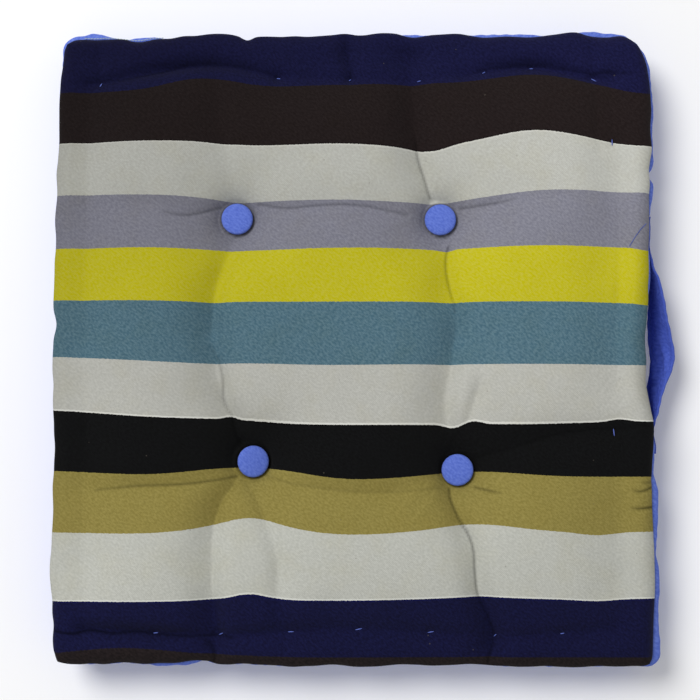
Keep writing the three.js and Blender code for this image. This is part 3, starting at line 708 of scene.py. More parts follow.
def woven_cloth_group():
    """Threads over and under each other: how light each spot is, flecks, lint and relief."""
    tree = bpy.data.node_groups.new("woven_cloth", "ShaderNodeTree")
    add_socket(tree, "INPUT", "Cloth", "Vector")
    add_socket(tree, "INPUT", "Threads per metre", "Float", 1400.0)
    add_socket(tree, "INPUT", "Twill", "Float", 0.5)
    for name in ("Grain", "Fleck", "Lint", "Relief"):
        add_socket(tree, "OUTPUT", name, "Float")
    given = tree.nodes.new("NodeGroupInput").outputs
    cloth = given["Cloth"]
    turns = math_node(tree, "MULTIPLY", given["Threads per metre"], pi)
    across = math_node(tree, "MULTIPLY", part_of(tree, cloth, "X"), turns)
    along = math_node(tree, "MULTIPLY", part_of(tree, cloth, "Y"), turns)
    over = math_node(tree, "SINE", across)
    plain = math_node(tree, "MULTIPLY", over, math_node(tree, "SINE", along))
    slant = math_node(tree, "SINE", math_node(tree, "SUBTRACT", across, along))
    twilled = math_node(tree, "MULTIPLY", slant, given["Twill"])
    uneven = noise_node(tree, stretched(tree, cloth, 1, 2.2), 420, 3, 0.6)
    relief = math_node(tree, "ADD", math_node(tree, "ADD", plain, twilled), uneven)
    # Slubs along the cross threads, specks of single threads, and broad worn softness.
    slub = noise_node(tree, stretched(tree, cloth, 0.6, 1.5), 560, 2, 0.45)
    speckle = noise_node(tree, stretched(tree, cloth, 1.1, 0.9), 620)
    soft = noise_node(tree, cloth, 60, 3, 0.6)
    grain = math_node(tree, "MULTIPLY", speckle, 0.36)
    grain = math_node(tree, "MULTIPLY_ADD", slub, 0.42, grain)
    grain = math_node(tree, "MULTIPLY_ADD", soft, 0.22, grain)
    # Flecks of the yarn woven through, on a slant, and rare specks of lint.
    turned = add_node(tree, "ShaderNodeVectorRotate", {"Vector": cloth, "Angle": radians(38)})
    fleck = noise_node(tree, stretched(tree, turned.outputs[0], 0.8, 1.4), 520)
    inputs = {"Value": fleck, "From Min": 0.36, "From Max": 0.66}
    fleck = add_node(tree, "ShaderNodeMapRange", inputs).outputs[0]
    specks = add_node(tree, "ShaderNodeTexVoronoi", {"Vector": cloth, "Scale": 95}).outputs
    small = math_node(tree, "LESS_THAN", specks["Distance"], 0.05)
    rare = math_node(tree, "LESS_THAN", part_of(tree, specks["Color"], "X"), 0.20)
    lint = math_node(tree, "MULTIPLY", small, rare)
    results = {"Grain": grain, "Fleck": fleck, "Lint": lint, "Relief": relief}
    add_node(tree, "NodeGroupOutput", results)
    return tree


woven_cloth = woven_cloth_group()

# The stripes from the front edge to the back one: where each ends along the cloth, its yarn, the
# yarn woven through it, how much of that shows, and how mottled the weave makes it. Three borders
# show a brighter thread and a darker one.
STRIPES = [
    (-220.5, (26, 21, 22), (38, 31, 32), 0.5, 0.26),
    (-180.6, (15, 15, 45), (21, 23, 60), 0.5, 0.30),
    (-179.5, (10, 12, 60), (13, 16, 68), 0.5, 0.10),
    (-178.4, (203, 204, 197), (210, 211, 204), 0.5, 0.06),
    (-132.5, (176, 177, 169), (188, 189, 181), 0.5, 0.13),
    (-93.5, (130, 119, 61), (145, 133, 73), 0.5, 0.20),
    (-54.9, (10, 10, 11), (16, 17, 18), 0.4, 0.30),
    (-54.0, (5, 5, 6), (7, 7, 8), 0.4, 0.10),
    (-52.9, (206, 206, 199), (212, 212, 205), 0.5, 0.06),
    (-14.0, (172, 172, 165), (183, 183, 176), 0.5, 0.13),
    (30.5, (68, 99, 114), (92, 120, 132), 0.5, 0.24),
    (69.5, (180, 173, 8), (185, 178, 56), 0.5, 0.08),
    (108.5, (115, 115, 127), (130, 130, 141), 0.5, 0.16),
    (147.6, (172, 172, 165), (182, 183, 176), 0.5, 0.13),
    (148.5, (186, 186, 179), (194, 194, 187), 0.5, 0.06),
    (149.4, (22, 15, 16), (26, 19, 20), 0.5, 0.10),
    (190.0, (27, 20, 20), (34, 27, 27), 0.5, 0.26),
    (240.0, (15, 15, 46), (22, 23, 60), 0.5, 0.30),
]


def stripe_share(tree, along):
    """Which stripe a place along the cloth lies in, as the middle of its share of a ramp."""
    number = 0.5
    for stripe in STRIPES[:-1]:
        past = math_node(tree, "GREATER_THAN", along, stripe[0] * MM)
        number = math_node(tree, "ADD", past, number)
    return math_node(tree, "DIVIDE", number, len(STRIPES))


def stripe_ramp(tree, share, colours):
    """A ramp with an equal share for each stripe."""
    ramp = add_node(tree, "ShaderNodeValToRGB", {"Fac": share})
    ramp.color_ramp.interpolation = "CONSTANT"
    stops = ramp.color_ramp.elements
    while len(stops) < len(colours):
        stops.new(1)
    for number, colour in enumerate(colours):
        stops[number].position = number / len(colours)
        stops[number].color = colour
    return ramp.outputs["Color"]


def new_material(name, roughness, specular):
    """A material with its node tree and its Principled shader."""
    material = bpy.data.materials.new(name)
    material.use_nodes = True
    shader = material.node_tree.nodes["Principled BSDF"]
    shader.inputs["Roughness"].default_value = roughness
    shader.inputs["Specular IOR Level"].default_value = specular
    return material, material.node_tree, shader


def add_relief(tree, shader, height, distance):
    """Relief of a surface, from a height."""
    bump = add_node(tree, "ShaderNodeBump", {"Height": height, "Strength": 0.4, "Distance": distance})
    tree.links.new(bump.outputs[0], shader.inputs["Normal"])


def cloth_material(name, coarse, twill):
    """A matt cloth material with its woven_cloth group placed, ready for its colours."""
    material, tree, shader = new_material(name, roughness=0.92, specular=0.08)
    shader.inputs["Sheen Weight"].default_value = 0.03
    shader.inputs["Sheen Roughness"].default_value = 0.5
    place = add_node(tree, "ShaderNodeUVMap", uv_map="cloth").outputs[0]
    inputs = {"Cloth": place, "Threads per metre": coarse, "Twill": twill}
    weave = add_node(tree, "ShaderNodeGroup", inputs, node_tree=woven_cloth).outputs
    add_relief(tree, shader, weave["Relief"], distance=0.00012)
    return material, tree, shader, place, weave


def mottled(tree, colour, grain, depth):
    """Lighten and darken a colour by the grain of the weave."""
    middle = math_node(tree, "SUBTRACT", grain, 0.5)
    gain = math_node(tree, "MULTIPLY_ADD", middle, math_node(tree, "MULTIPLY", depth, 2), 1)
    return scaled(tree, colour, gain)


canvas, tree, shader, place, weave = cloth_material("striped_canvas", coarse=1500, twill=0.6)
along = part_of(tree, add_node(tree, "ShaderNodeUVMap", uv_map="stripes").outputs[0], "Y")
# Cross threads do not end on a line, so a stripe's edge steps by a thread here and there.
ragged = noise_node(tree, stretched(tree, place, 1, 0.2), 700, 2, 0.7)
along = math_node(tree, "ADD", along, math_node(tree, "MULTIPLY_ADD", ragged, 0.0010, -0.0005))
share = stripe_share(tree, along)
yarn = stripe_ramp(tree, share, [dye(*stripe[1]) for stripe in STRIPES])
woven_in = stripe_ramp(tree, share, [dye(*stripe[2]) for stripe in STRIPES])
showing = stripe_ramp(tree, share, [(stripe[3],) * 3 + (1,) for stripe in STRIPES])
mottle = stripe_ramp(tree, share, [(stripe[4],) * 3 + (1,) for stripe in STRIPES])
flecked = math_node(tree, "MULTIPLY", weave["Fleck"], math_node(tree, "MULTIPLY", showing, 2))
colour = mixed(tree, "MIX", flecked, yarn, woven_in)
colour = mottled(tree, colour, weave["Grain"], mottle)
# Broad faint stains, and lint.
blotch = noise_node(tree, place, 42, 3, 0.6)
stain = math_node(tree, "MULTIPLY", math_node(tree, "SUBTRACT", blotch, 0.45), 0.5)
colour = mixed(tree, "MULTIPLY", math_node(tree, "MAXIMUM", stain, 0), colour, dye(236, 226, 180))
lint = math_node(tree, "MULTIPLY", weave["Lint"], 0.35)
colour = mixed(tree, "MIX", lint, colour, dye(96, 90, 80))
# Painted light falloff across the cloth: darker towards the back left, lighter towards the back
# right, and a little the other way along the front edge.
towards_back = math_node(tree, "ADD", part_of(tree, place, "Y"), 0.15)
painted_falloff = math_node(tree, "MULTIPLY", part_of(tree, place, "X"), towards_back)
gain = math_node(tree, "MULTIPLY_ADD", painted_falloff, 3.8, 1)
# Painted shade darkens the colour along the rolled edge, and along the folds and button rims.
for name, darkening in (("painted_edge_shade", -0.3), ("painted_shade", -0.8)):
    shade = add_node(tree, "ShaderNodeAttribute", attribute_name=name).outputs["Fac"]
    gain = math_node(tree, "MULTIPLY", gain, math_node(tree, "MULTIPLY_ADD", shade, darkening, 1))
tree.links.new(scaled(tree, colour, gain), shader.inputs["Base Color"])
pad.data.materials.append(canvas)
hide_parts("pad")
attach(pad, "root")


# The side band. One strip of plain blue canvas runs round the pad between the two seams. The
# tacked edge puckers it and makes it roll out past the striped top.

# From the top seam down: height, share of the roll there, and how far out it stands besides.
BAND_FOOT = 1.8
BAND_PROFILE = [
    (39.7, 0.0, 0.0), (38.6, 0.55, 0.2), (35.0, 1.0, 0.0), (28.0, 0.9, -1.0),
    (22.0, 0.7, -2.0), (14.0, 0.75, -1.4), (9.0, 0.8, -0.4), (4.5, 0.55, -1.0),
    (BAND_FOOT, 0.0, -4.0),
]
BAND_ROWS = 22
BAND_STEP = 2.2


def ring_round(step):
    """Points of the plain rectangle's edge, once round against the clock."""
    across = int(round(2 * HALF_WIDTH / step))
    deep = int(round(2 * HALF_DEPTH / step))
    x = np.linspace(-HALF_WIDTH, HALF_WIDTH, across + 1)
    y = np.linspace(-HALF_DEPTH, HALF_DEPTH, deep + 1)
    ring_x = [x[:-1], np.full(deep, HALF_WIDTH), x[:0:-1], np.full(deep, -HALF_WIDTH)]
    ring_y = [np.full(across, -HALF_DEPTH), y[:-1], np.full(across, HALF_DEPTH), y[:0:-1]]
    return np.concatenate(ring_x), np.concatenate(ring_y)


edge_x, edge_y = on_pad(*ring_round(BAND_STEP))
ahead = np.column_stack([np.roll(edge, -2) - np.roll(edge, 2) for edge in (edge_x, edge_y)])
ahead /= np.linalg.norm(ahead, axis=1, keepdims=True)
outward = np.column_stack([ahead[:, 1], -ahead[:, 0]])
beside, behind = side_values(edge_x, edge_y, 2)
roll_out = beside * outward[:, 0] ** 2 + behind * outward[:, 1] ** 2
lengths = np.hypot(np.roll(edge_x, -1) - edge_x, np.roll(edge_y, -1) - edge_y)
run = np.concatenate([[0], np.cumsum(lengths)])
round_length = run[-1]
run = run[:-1]
profile = np.array(BAND_PROFILE)
profile_steps = np.hypot(np.diff(profile[:, 0]), np.diff(profile[:, 2]))
profile_run = np.concatenate([[0], np.cumsum(profile_steps)])
band_down = np.linspace(0, profile_run[-1], BAND_ROWS)
band_z, band_share, band_out = smooth_between(profile_run, profile, band_down).T


def closed_waves(seed, count, length):
    """Uneven waves along the band that meet where it closes, about -1 to 1."""
    random = np.random.default_rng(seed)
    total = np.zeros(len(run))
    fewest = int(0.5 * round_length / length)
    for turns in random.integers(fewest, int(1.6 * round_length / length), count):
        total += np.sin(2 * pi * turns * run / round_length + random.uniform(0, 2 * pi))
    return total / count**0.5


covered = 0.9 * hiding(roll_out)
top_pucker = closed_waves(seed=11, count=6, length=11)
bottom_pucker = closed_waves(seed=12, count=6, length=13)
slow_wave = closed_waves(seed=13, count=4, length=90)
tuck_wave = closed_waves(seed=14, count=5, length=34)
# The strap's tacks draw the band in at its two ends: where, over what reach and how far.
STRAP_TACKS = [(84, 17, 3.0), (-70, 13, 2.8)]
drawn_in = sum(deep * bell(edge_y - at, reach, 4) for at, reach, deep in STRAP_TACKS)
drawn_in *= outward[:, 0] > 0.9
outer_rings = []
inner_rings = []
for z, share, out in zip(band_z, band_share, band_out):
    below_top = SEAM_Z - z
    above_bottom = z - BAND_FOOT
    wave = 0.3 * top_pucker * bell(below_top, 7, 1.5) * min(1, below_top / 1.5)
    wave += 0.5 * bottom_pucker * bell(above_bottom, 6, 1) * min(1, above_bottom / 2)
    middle = np.sin(pi * np.clip(above_bottom / (SEAM_Z - BAND_FOOT), 0, 1))
    wave += middle * (0.5 * slow_wave + 0.3 * tuck_wave)
    shift = roll_out * share - covered * min(1, below_top / 3) + out + wave
    shift -= drawn_in * smooth_step(below_top / 6)
    across = edge_x + outward[:, 0] * shift
    deep = edge_y + outward[:, 1] * shift
    outer_rings.append(np.column_stack([across, deep, np.full(len(edge_x), z)]))
    inner_rings.append(outer_rings[-1] - np.column_stack([outward * CLOTH, np.zeros(len(edge_x))]))
band_points = np.concatenate(outer_rings + inner_rings[::-1])
ring_size = len(edge_x)
ring_count = 2 * BAND_ROWS
band_faces = []
for number in range(ring_count):
    upper = np.arange(ring_size) + number * ring_size
    lower = np.arange(ring_size) + (number + 1) % ring_count * ring_size
    band_faces += ring_faces(upper, lower)
band = new_piece("blue_side_band", band_points, band_faces)
down = np.concatenate([band_down, band_down[::-1] + 60])
lay_cloth_map(band, np.tile(run, ring_count), np.repeat(down, ring_size))
smooth_shade(band)


def blue_cloth(name, coarse, yarn_colour, crossing_colour, mottle):
    """Plain canvas of one colour: its yarn, the yarn that crosses it and how mottled it is."""
    material, tree, shader, _, weave = cloth_material(name, coarse, twill=0.5)
    colour = mixed(tree, "MIX", weave["Fleck"], dye(*yarn_colour), dye(*crossing_colour))
    colour = mottled(tree, colour, weave["Grain"], mottle)
    tree.links.new(colour, shader.inputs["Base Color"])
    return material


blue_canvas = blue_cloth("blue_canvas", 1500, (84, 106, 196), (106, 128, 212), 0.22)
band.data.materials.append(blue_canvas)
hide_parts("side_band")
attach(band, "root")


# The base panel. Plain blue canvas closes the underside. The four button threads draw it up into
# shallow dimples, and its edge puckers where it is sewn to the band.
BASE_STEP = 3.5
BASE_INSET = 4.0
base_columns = grid_lines(HALF_WIDTH, BASE_STEP)
base_rows = grid_lines(HALF_DEPTH, BASE_STEP)
flat_x, flat_y = np.meshgrid(base_columns, base_rows)
base_x, base_y = on_pad(flat_x, flat_y)
base_x = base_x * (1 - BASE_INSET / HALF_WIDTH)
base_y = base_y * (1 - BASE_INSET / HALF_DEPTH)
from_edge = to_edge(flat_x, flat_y)
slack = 0.5 + 0.5 * lumps(base_columns, base_rows, 12, 21)
waves = 0.5 + 0.5 * lumps(base_columns, base_rows, 45, 22)
lift = under_height(base_x, base_y)
lift += (0.7 + 0.7 * slack) * bell(from_edge, 5, 1.5)
lift += 0.35 * waves * np.clip(from_edge / 20, 0, 1)
for tuft_x, tuft_y, _, _ in TUFTS.values():
    angle = np.arctan2(base_y - tuft_y, base_x - tuft_x)
    away = np.hypot(base_x - tuft_x, base_y - tuft_y)
    pleats = 0.5 + 0.5 * np.cos(7 * angle + tuft_x)
    lift += 0.5 * pleats * smooth_step(away / 8) * bell(away, 24)
underside = np.dstack([base_x, base_y, lift])
upperside = underside + np.array([0, 0, CLOTH])
side_points = underside.shape[0] * underside.shape[1]
base_faces = [face[::-1] for face in grid_faces(*underside.shape[:2])]
base_faces += grid_faces(*underside.shape[:2], first=side_points)
base_rim = grid_rim(*underside.shape[:2])
base_faces += ring_faces(base_rim + side_points, base_rim)
base = new_piece("blue_base_panel", np.concatenate([underside, upperside]), base_faces)
lay_cloth_map(base, np.tile(base_x.ravel(), 2), np.tile(base_y.ravel(), 2))
smooth_shade(base)
base.data.materials.append(blue_canvas)
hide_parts("base_panel")
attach(base, "root")


# The carry handle. A strap of the blue canvas, folded to its width and sewn flat, is tacked to
# the band at both ends. It stands off the side in between, leaning out and sagging.
STRAP_WIDTH = 26.0
STRAP_THICKNESS = 2.6
STRAP_Z = 22.0
# Place along the side, how far the strap stands off and sags, and its lean in degrees.
STRAP_ROWS = [
    (-77, 0.0, 0.0, 0), (-66, 0.0, 0.0, 0), (-57, 0.9, 0.6, 3), (-46, 2.6, 1.8, 10),
    (-37, 5.8, 3.0, 16), (-28, 10.2, 4.2, 22), (-16, 14.2, 5.2, 27), (-4, 15.4, 5.6, 28),
    (8, 13.8, 5.2, 27), (20, 11.2, 4.4, 24), (32, 8.2, 3.4, 18), (46, 3.8, 1.8, 9),
    (57, 1.2, 0.7, 3), (70, 0.0, 0.0, 0), (95, 0.0, 0.0, 0),
]
STRAP_STATIONS = 150
STRAP_ACROSS = 24
STRAP_SEAMS = (-9.6, 9.6)
# Folds of the free part: depth, height of the crease, slant, width, place and reach along it.
STRAP_FOLDS = [(1.6, 3, 0.28, 1.8, 4, 26), (1.3, 2, 0.55, 1.7, -34, 20), (1.0, -4, 0.40, 1.5, -22, 18)]
right = np.where(outward[:, 0] > 0.97)[0]
right = right[np.argsort(edge_y[right])]
band_section = np.array([ring[right] for ring in outer_rings])
section_places = band_section[0, :, 1]
strap_table = np.array(STRAP_ROWS, float)
strap_y = np.linspace(STRAP_ROWS[0][0], STRAP_ROWS[-1][0], STRAP_STATIONS)
strap_off, strap_sag, strap_lean = smooth_between(strap_table[:, 0], strap_table[:, 1:], strap_y).T
strap_lean = np.radians(strap_lean)
band_x = smooth_between(section_places, band_section[:, :, 0].T, strap_y)
band_heights = band_section[:, 0, 2]


def on_strap(number, up, through):
    """A point of the strap at one station, from its middle line up and out through it."""
    y = strap_y[number]
    off = strap_off[number]
    lean = strap_lean[number]
    z = STRAP_Z - strap_sag[number] + up * cos(lean)
    free_part = smooth_step(off / 2.5)
    on_band = np.interp(z, band_heights[::-1], band_x[number][::-1])
    stand_off = band_x[number].max() + max(0.0, off + up * sin(lean))
    wave = 0.5 * sin(y / 9.0 + up / 7.0)
    fold = 0
    for deep, high, slant, wide, at, reach in STRAP_FOLDS:
        fold += deep * bell(up - high + slant * (y - at), wide) * bell(y - at, reach, 4)
    x = GAP + STRAP_THICKNESS / 2 + 0.2 + on_band + (stand_off - on_band + wave) * free_part
    x += through * cos(lean) - 1.3 * fold * free_part
    # The rows of stitching pull the strap in a little.
    quilted = 0.35 * sum(bell(up - row, 1.3) for row in STRAP_SEAMS)
    return x - np.sign(through) * quilted, y, z - through * sin(lean)


stations = []
for number in range(STRAP_STATIONS):
    loop = []
    for turn in np.linspace(0, 2 * pi, 2 * STRAP_ACROSS, endpoint=False):
        # A flat section with round edges, walked once round.
        up = STRAP_WIDTH / 2 * np.sign(cos(turn)) * abs(cos(turn)) ** 0.6
        through = STRAP_THICKNESS / 2 * np.sign(sin(turn)) * abs(sin(turn)) ** 0.35
        loop.append(on_strap(number, up, through))
    stations.append(loop)
strap_points = np.array(stations)
loop_size = strap_points.shape[1]
strap_faces = []
for number in range(STRAP_STATIONS - 1):
    near = np.arange(loop_size) + number * loop_size
    far = near + loop_size
    strap_faces += [list(reversed(face)) for face in ring_faces(far, near)]
strap_faces.append(list(range(loop_size)))
last = STRAP_STATIONS * loop_size - 1
strap_faces.append(list(range(last, last - loop_size, -1)))
handle = new_piece("blue_carry_handle", strap_points, strap_faces)
round_strap = np.linspace(0, 2 * STRAP_WIDTH, loop_size, endpoint=False)
lay_cloth_map(handle, np.repeat(strap_y, loop_size), np.tile(round_strap, STRAP_STATIONS))
smooth_shade(handle)
# Painted shade: the strap's canvas is the blue canvas made darker, for the strap standing in the pad's
# shadow.
shaded_strap_canvas = blue_cloth("shaded_strap_canvas", 1500, (64, 84, 174), (84, 104, 194), 0.22)
handle.data.materials.append(shaded_strap_canvas)
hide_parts("carry_handle")
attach(handle, "root")


# The thread. Blue thread tacks the rolled edge, sews the strap along both edges and in a crossed
# box at each end, and ties the buttons through to the underside. One end hangs loose, and paler
# thread shows along the open part of the back seam.
def thread_stitch_tree():
    """A tree that lays one stitch along each stretch of the seam lines that it is given."""
    tree = bpy.data.node_groups.new("thread_stitches", "GeometryNodeTree")
    add_socket(tree, "INPUT", "Seams", "Geometry")
    add_socket(tree, "INPUT", "Spacing", "Float", 0.004)
    add_socket(tree, "INPUT", "Thread radius", "Float", 0.0003)
    add_socket(tree, "INPUT", "Stitch share", "Float", 0.8)
    add_socket(tree, "INPUT", "Unevenness", "Float", 0.12)
    add_socket(tree, "INPUT", "Seed", "Int", 1)
    add_socket(tree, "INPUT", "Thread", "Material")
    add_socket(tree, "OUTPUT", "Stitches", "Geometry")
    given = tree.nodes.new("NodeGroupInput").outputs
    line = add_node(tree, "GeometryNodeMeshToCurve", {"Mesh": given["Seams"]}).outputs["Curve"]
    inputs = {"Curve": line, "Length": given["Spacing"]}
    line = add_node(tree, "GeometryNodeResampleCurve", inputs, mode="LENGTH").outputs["Curve"]
    stretches = add_node(tree, "GeometryNodeCurveToMesh", {"Curve": line}).outputs["Mesh"]
    # Each stretch of a seam keeps its run, which its stitch is aimed along.
    ends = tree.nodes.new("GeometryNodeInputMeshEdgeVertices").outputs
    inputs = {0: ends["Position 2"], 1: ends["Position 1"]}
    run = add_node(tree, "ShaderNodeVectorMath", inputs, operation="SUBTRACT").outputs[0]
    kept = add_node(tree, "GeometryNodeCaptureAttribute", {"Geometry": stretches}, domain="EDGE")
    kept.capture_items.new("VECTOR", "Run")
    tree.links.new(run, kept.inputs["Run"])
    run = kept.outputs["Run"]
    inputs = {"Mesh": kept.outputs["Geometry"]}
    middles = add_node(tree, "GeometryNodeMeshToPoints", inputs, mode="EDGES")
    aimed = add_node(tree, "FunctionNodeAlignRotationToVector", {"Vector": run}, axis="X")
    length = add_node(tree, "ShaderNodeVectorMath", {0: run}, operation="LENGTH").outputs["Value"]
    chance = add_node(tree, "FunctionNodeRandomValue", {"Seed": given["Seed"]}, data_type="FLOAT")
    least, most = [socket for socket in chance.inputs if socket.type == "VALUE"][:2]
    tree.links.new(math_node(tree, "SUBTRACT", 1, given["Unevenness"]), least)
    tree.links.new(math_node(tree, "ADD", 1, given["Unevenness"]), most)
    varied = [socket for socket in chance.outputs if socket.type == "VALUE"][0]
    half = math_node(tree, "MULTIPLY", length, given["Stitch share"])
    half = math_node(tree, "MULTIPLY", math_node(tree, "MULTIPLY", half, 0.5), varied)
    inputs = {"X": half, "Y": given["Thread radius"], "Z": given["Thread radius"]}
    size = add_node(tree, "ShaderNodeCombineXYZ", inputs)
    # A stitch is a spindle of thread.
    inputs = {"Segments": 8, "Rings": 6, "Radius": 1.0}
    spindle = add_node(tree, "GeometryNodeMeshUVSphere", inputs)
    inputs = {"Geometry": spindle.outputs["Mesh"], "Rotation": (0, pi / 2, 0)}
    lengthwise = add_node(tree, "GeometryNodeTransform", inputs)
    inputs = {
        "Points": middles.outputs["Points"],
        "Instance": lengthwise.outputs["Geometry"],
        "Rotation": aimed.outputs["Rotation"],
        "Scale": size.outputs[0],
    }
    placed = add_node(tree, "GeometryNodeInstanceOnPoints", inputs).outputs["Instances"]
    real = add_node(tree, "GeometryNodeRealizeInstances", {"Geometry": placed})
    inputs = {"Geometry": real.outputs["Geometry"], "Material": given["Thread"]}
    coloured = add_node(tree, "GeometryNodeSetMaterial", inputs)
    add_node(tree, "NodeGroupOutput", {"Stitches": coloured.outputs["Geometry"]})
    return tree


thread_stitches = thread_stitch_tree()


def thread_material(name, colour):
    """Twisted polyester thread, a little shinier than the cloth, with light and dark strands."""
    material, tree, shader = new_material(name, roughness=0.55, specular=0.3)
    place = tree.nodes.new("ShaderNodeTexCoord").outputs["Object"]
    strand = noise_node(tree, place, 2600, 1)
    dark = (*(0.7 * channel for channel in colour[:3]), 1)
    light = (*(min(1, 1.25 * channel) for channel in colour[:3]), 1)
    tree.links.new(mixed(tree, "MIX", strand, dark, light), shader.inputs["Base Color"])
    add_relief(tree, shader, strand, distance=0.0001)
    return material


def sewn(name, seams, spacing, radius, share, thread, seed):
    """A mesh of stitches along seam lines, which are lists of points in millimetres."""
    points = [point for seam in seams for point in seam]
    edges = []
    first = 0
    for seam in seams:
        edges += [(first + k, first + k + 1) for k in range(len(seam) - 1)]
        first += len(seam)
    mesh = bpy.data.meshes.new(name + "_lines")
    mesh.from_pydata((np.array(points, float) * MM).tolist(), edges, [])
    lines = bpy.data.objects.new(name + "_lines", mesh)
    bpy.context.scene.collection.objects.link(lines)
    modifier = lines.modifiers.new("stitches", "NODES")
    modifier.node_group = thread_stitches
    sockets = {item.name: item.identifier for item in thread_stitches.interface.items_tree}
    modifier[sockets["Spacing"]] = spacing * MM
    modifier[sockets["Thread radius"]] = radius * MM
    for socket, value in (("Stitch share", share), ("Seed", seed), ("Thread", thread)):
        modifier[sockets[socket]] = value
    evaluated = lines.evaluated_get(bpy.context.evaluated_depsgraph_get())
    stitches = bpy.data.meshes.new_from_object(evaluated)
    stitches.name = name
    piece = bpy.data.objects.new(name, stitches)
    bpy.context.scene.collection.objects.link(piece)
    bpy.data.objects.remove(lines)
    smooth_shade(piece)
    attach(piece, "root")
    return piece


blue_thread = thread_material("blue_thread", dye(70, 90, 172))
pale_thread = thread_material("pale_blue_thread", dye(88, 104, 182))
seam_thread = thread_material("seam_thread", dye(172, 186, 192))


def top_z(x, y):
    """Height of the finished top at a place."""
    nearest = np.argmin((top[..., 0] - x) ** 2 + (top[..., 1] - y) ** 2)
    return top[..., 2].ravel()[nearest]


THREAD_LIFT = 0.9
tack_lines = []
for tack_x, tack_y, angle, length in TACKS:
    if length == 0:
        continue
    reach_x = length / 2 * cos(radians(angle))
    reach_y = length / 2 * sin(radians(angle))
    ends = [(tack_x + way * reach_x, tack_y + way * reach_y) for way in (-1, 1)]
    tack_lines.append([(x, y, top_z(x, y) + 0.25) for x, y in ends])
sewn("edge_tacks", tack_lines, spacing=9, radius=0.42, share=1.0, thread=pale_thread, seed=1)
seam_x = np.linspace(-196, -138, 30)
seam_y = HALF_DEPTH + side_value(BACK_SIDE, seam_x, 1) + THREAD_LIFT
seam_line = [(x, y, SEAM_Z + THREAD_LIFT) for x, y in zip(seam_x, seam_y)]
sewn("edge_seam", [seam_line], spacing=2.1, radius=0.34, share=0.95, thread=seam_thread, seed=5)
loose_end = [(199, 72), (203, 78.5), (207, 84), (211, 88), (215, 91.5)]
loose_end = [(x, y, top_z(x, y) + 0.35) for x, y in loose_end]
sewn("loose_thread_end", [loose_end], spacing=0.8, radius=0.22, share=2.2, thread=blue_thread, seed=2)

outer_face = STRAP_THICKNESS / 2 - 0.1
strap_lines = []
for face in (outer_face, -outer_face):
    for row in STRAP_SEAMS:
        strap_lines.append([on_strap(n, row, face) for n in range(2, STRAP_STATIONS - 2)])
# At each end the box runs up along its two sides and crosses over.
BOX_POINTS = 14
rows_up = np.linspace(*STRAP_SEAMS, BOX_POINTS)
for first, last in ((2, 15), (STRAP_STATIONS - 16, STRAP_STATIONS - 3)):
    stretch = np.linspace(first, last, BOX_POINTS).round().astype(int)
    for run in ([first] * BOX_POINTS, [last] * BOX_POINTS, stretch, stretch[::-1]):
        strap_lines.append([on_strap(n, up, outer_face) for n, up in zip(run, rows_up)])
sewn("strap_stitches", strap_lines, spacing=3.0, radius=0.26, share=0.82, thread=blue_thread, seed=3)

tie_lines = []
for tuft_x, tuft_y, _, _ in TUFTS.values():
    for offset in (-0.8, 0.0, 0.8):
        tie_lines.append([(tuft_x + x, tuft_y + offset, DIMPLE_HEIGHT - 0.15) for x in (-2.6, 2.6)])
        tie_lines.append([(tuft_x + offset, tuft_y + y, DIMPLE_HEIGHT - 0.3) for y in (-2.6, 2.6)])
sewn("button_ties", tie_lines, spacing=9, radius=0.36, share=1.0, thread=pale_thread, seed=4)


# The buttons. Each is a 36 line shell covered in blue cloth, gathered in under its rim, and drawn
# down into the top by thread. All sit a little tipped, and one of them clearly so.
BUTTON_RADIUS = 36 * 25.4 / 40 / 2
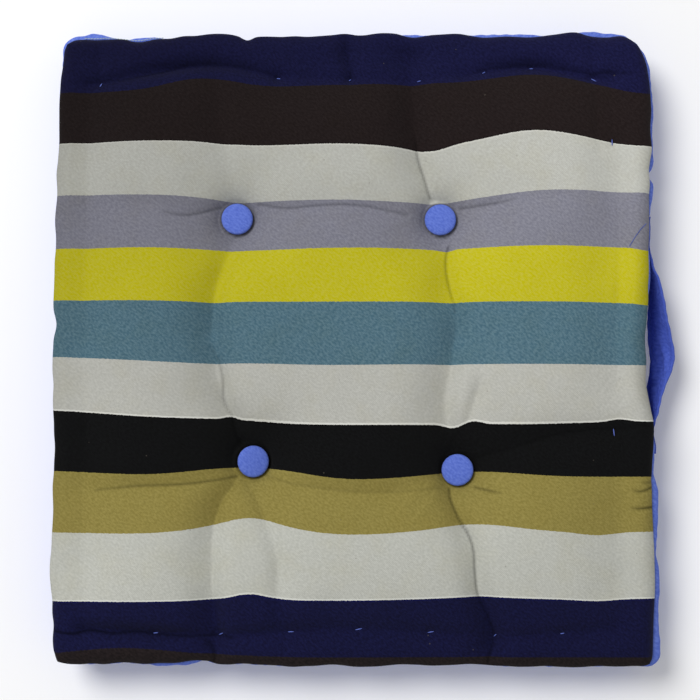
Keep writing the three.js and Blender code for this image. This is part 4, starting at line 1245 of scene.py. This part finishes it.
# From the middle of the back, round the rim, to the middle of the face: share of radius, height.
BUTTON_SECTION = [
    (0.0, 0.0), (0.55, 0.0), (0.82, 0.2), (0.95, 0.9), (1.0, 1.9),
    (0.985, 2.8), (0.93, 3.45), (0.80, 3.9), (0.55, 4.3), (0.28, 4.5),
    (0.0, 4.6),
]
BUTTON_TURNS = 64
BUTTON_RINGS = 26
section = np.array(BUTTON_SECTION)
section_steps = np.hypot(np.diff(section[:, 0]) * BUTTON_RADIUS, np.diff(section[:, 1]))
section_run = np.concatenate([[0], np.cumsum(section_steps)])
button_cloth = blue_cloth("button_cloth", 1700, (84, 106, 194), (101, 123, 208), 0.10)
for name, (button_x, button_y, tip_x, tip_y) in TUFTS.items():
    walk = np.linspace(0, section_run[-1], BUTTON_RINGS)[1:-1]
    share, height = smooth_between(section_run, section, walk).T
    turn = np.linspace(0, 2 * pi, BUTTON_TURNS, endpoint=False)
    gather = 0.22 * np.cos(turn * 16 + button_x) * bell(height[:, None], 1.3)
    radius = share[:, None] * BUTTON_RADIUS + gather * (share[:, None] > 0.3)
    heights = np.broadcast_to(height[:, None], radius.shape)
    rings = np.dstack([radius * np.cos(turn), radius * np.sin(turn), heights])
    button_points = np.concatenate([rings.reshape(-1, 3), [[0, 0, 0], [0, 0, section[-1, 1]]]])
    flat = button_points[:, :2].copy()
    turned = np.array(Euler((radians(tip_x), radians(tip_y), 0)).to_matrix())
    button_points = button_points @ turned.T + np.array([button_x, button_y, SEAT_Z + GAP])
    button_faces = []
    for number in range(len(walk) - 1):
        lower = np.arange(BUTTON_TURNS) + number * BUTTON_TURNS
        button_faces += ring_faces(lower + BUTTON_TURNS, lower)
    last = (len(walk) - 1) * BUTTON_TURNS
    foot = len(walk) * BUTTON_TURNS
    for k in range(BUTTON_TURNS):
        after = (k + 1) % BUTTON_TURNS
        button_faces.append([foot, after, k])
        button_faces.append([foot + 1, last + k, last + after])
    button = new_piece("covered_" + name, button_points, button_faces)
    lay_cloth_map(button, flat[:, 0] + 3 * button_x, flat[:, 1])
    smooth_shade(button)
    button.data.materials.append(button_cloth)
    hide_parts(name)
    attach(button, "root")


# The floor is a plain pale studio sweep, and a large soft light stands up and to the left.
FLOOR_REACH = 3000
FLOOR_Z = -0.2
corners = [(x * FLOOR_REACH, y * FLOOR_REACH, FLOOR_Z) for x, y in ((-1, -1), (1, -1), (1, 1), (-1, 1))]
floor = new_piece("floor", corners, [[0, 1, 2, 3]])
paper, tree, shader = new_material("pale_floor", roughness=0.95, specular=0.1)
faint = noise_node(tree, tree.nodes.new("ShaderNodeTexCoord").outputs["Object"], 3)
pale = mixed(tree, "MIX", faint, dye(246, 246, 246), dye(251, 251, 251))
tree.links.new(pale, shader.inputs["Base Color"])
floor.data.materials.append(paper)

KEY_PLACE = Vector((-1.45, 1.25, 2.95))
key_data = bpy.data.lights.new("key", "AREA")
key_data.shape = "DISK"
key_data.size = 1.7
key_data.energy = 82
key = bpy.data.objects.new("key", key_data)
key.location = KEY_PLACE
key.rotation_euler = (-KEY_PLACE).to_track_quat("-Z", "Y").to_euler()
bpy.context.scene.collection.objects.link(key)

world = bpy.data.worlds.new("studio")
world.use_nodes = True
surround = world.node_tree.nodes["Background"].inputs
surround["Color"].default_value = (1.0, 1.0, 1.0, 1)
surround["Strength"].default_value = 0.5
bpy.context.scene.world = world
bpy.context.scene.view_settings.view_transform = "Standard"
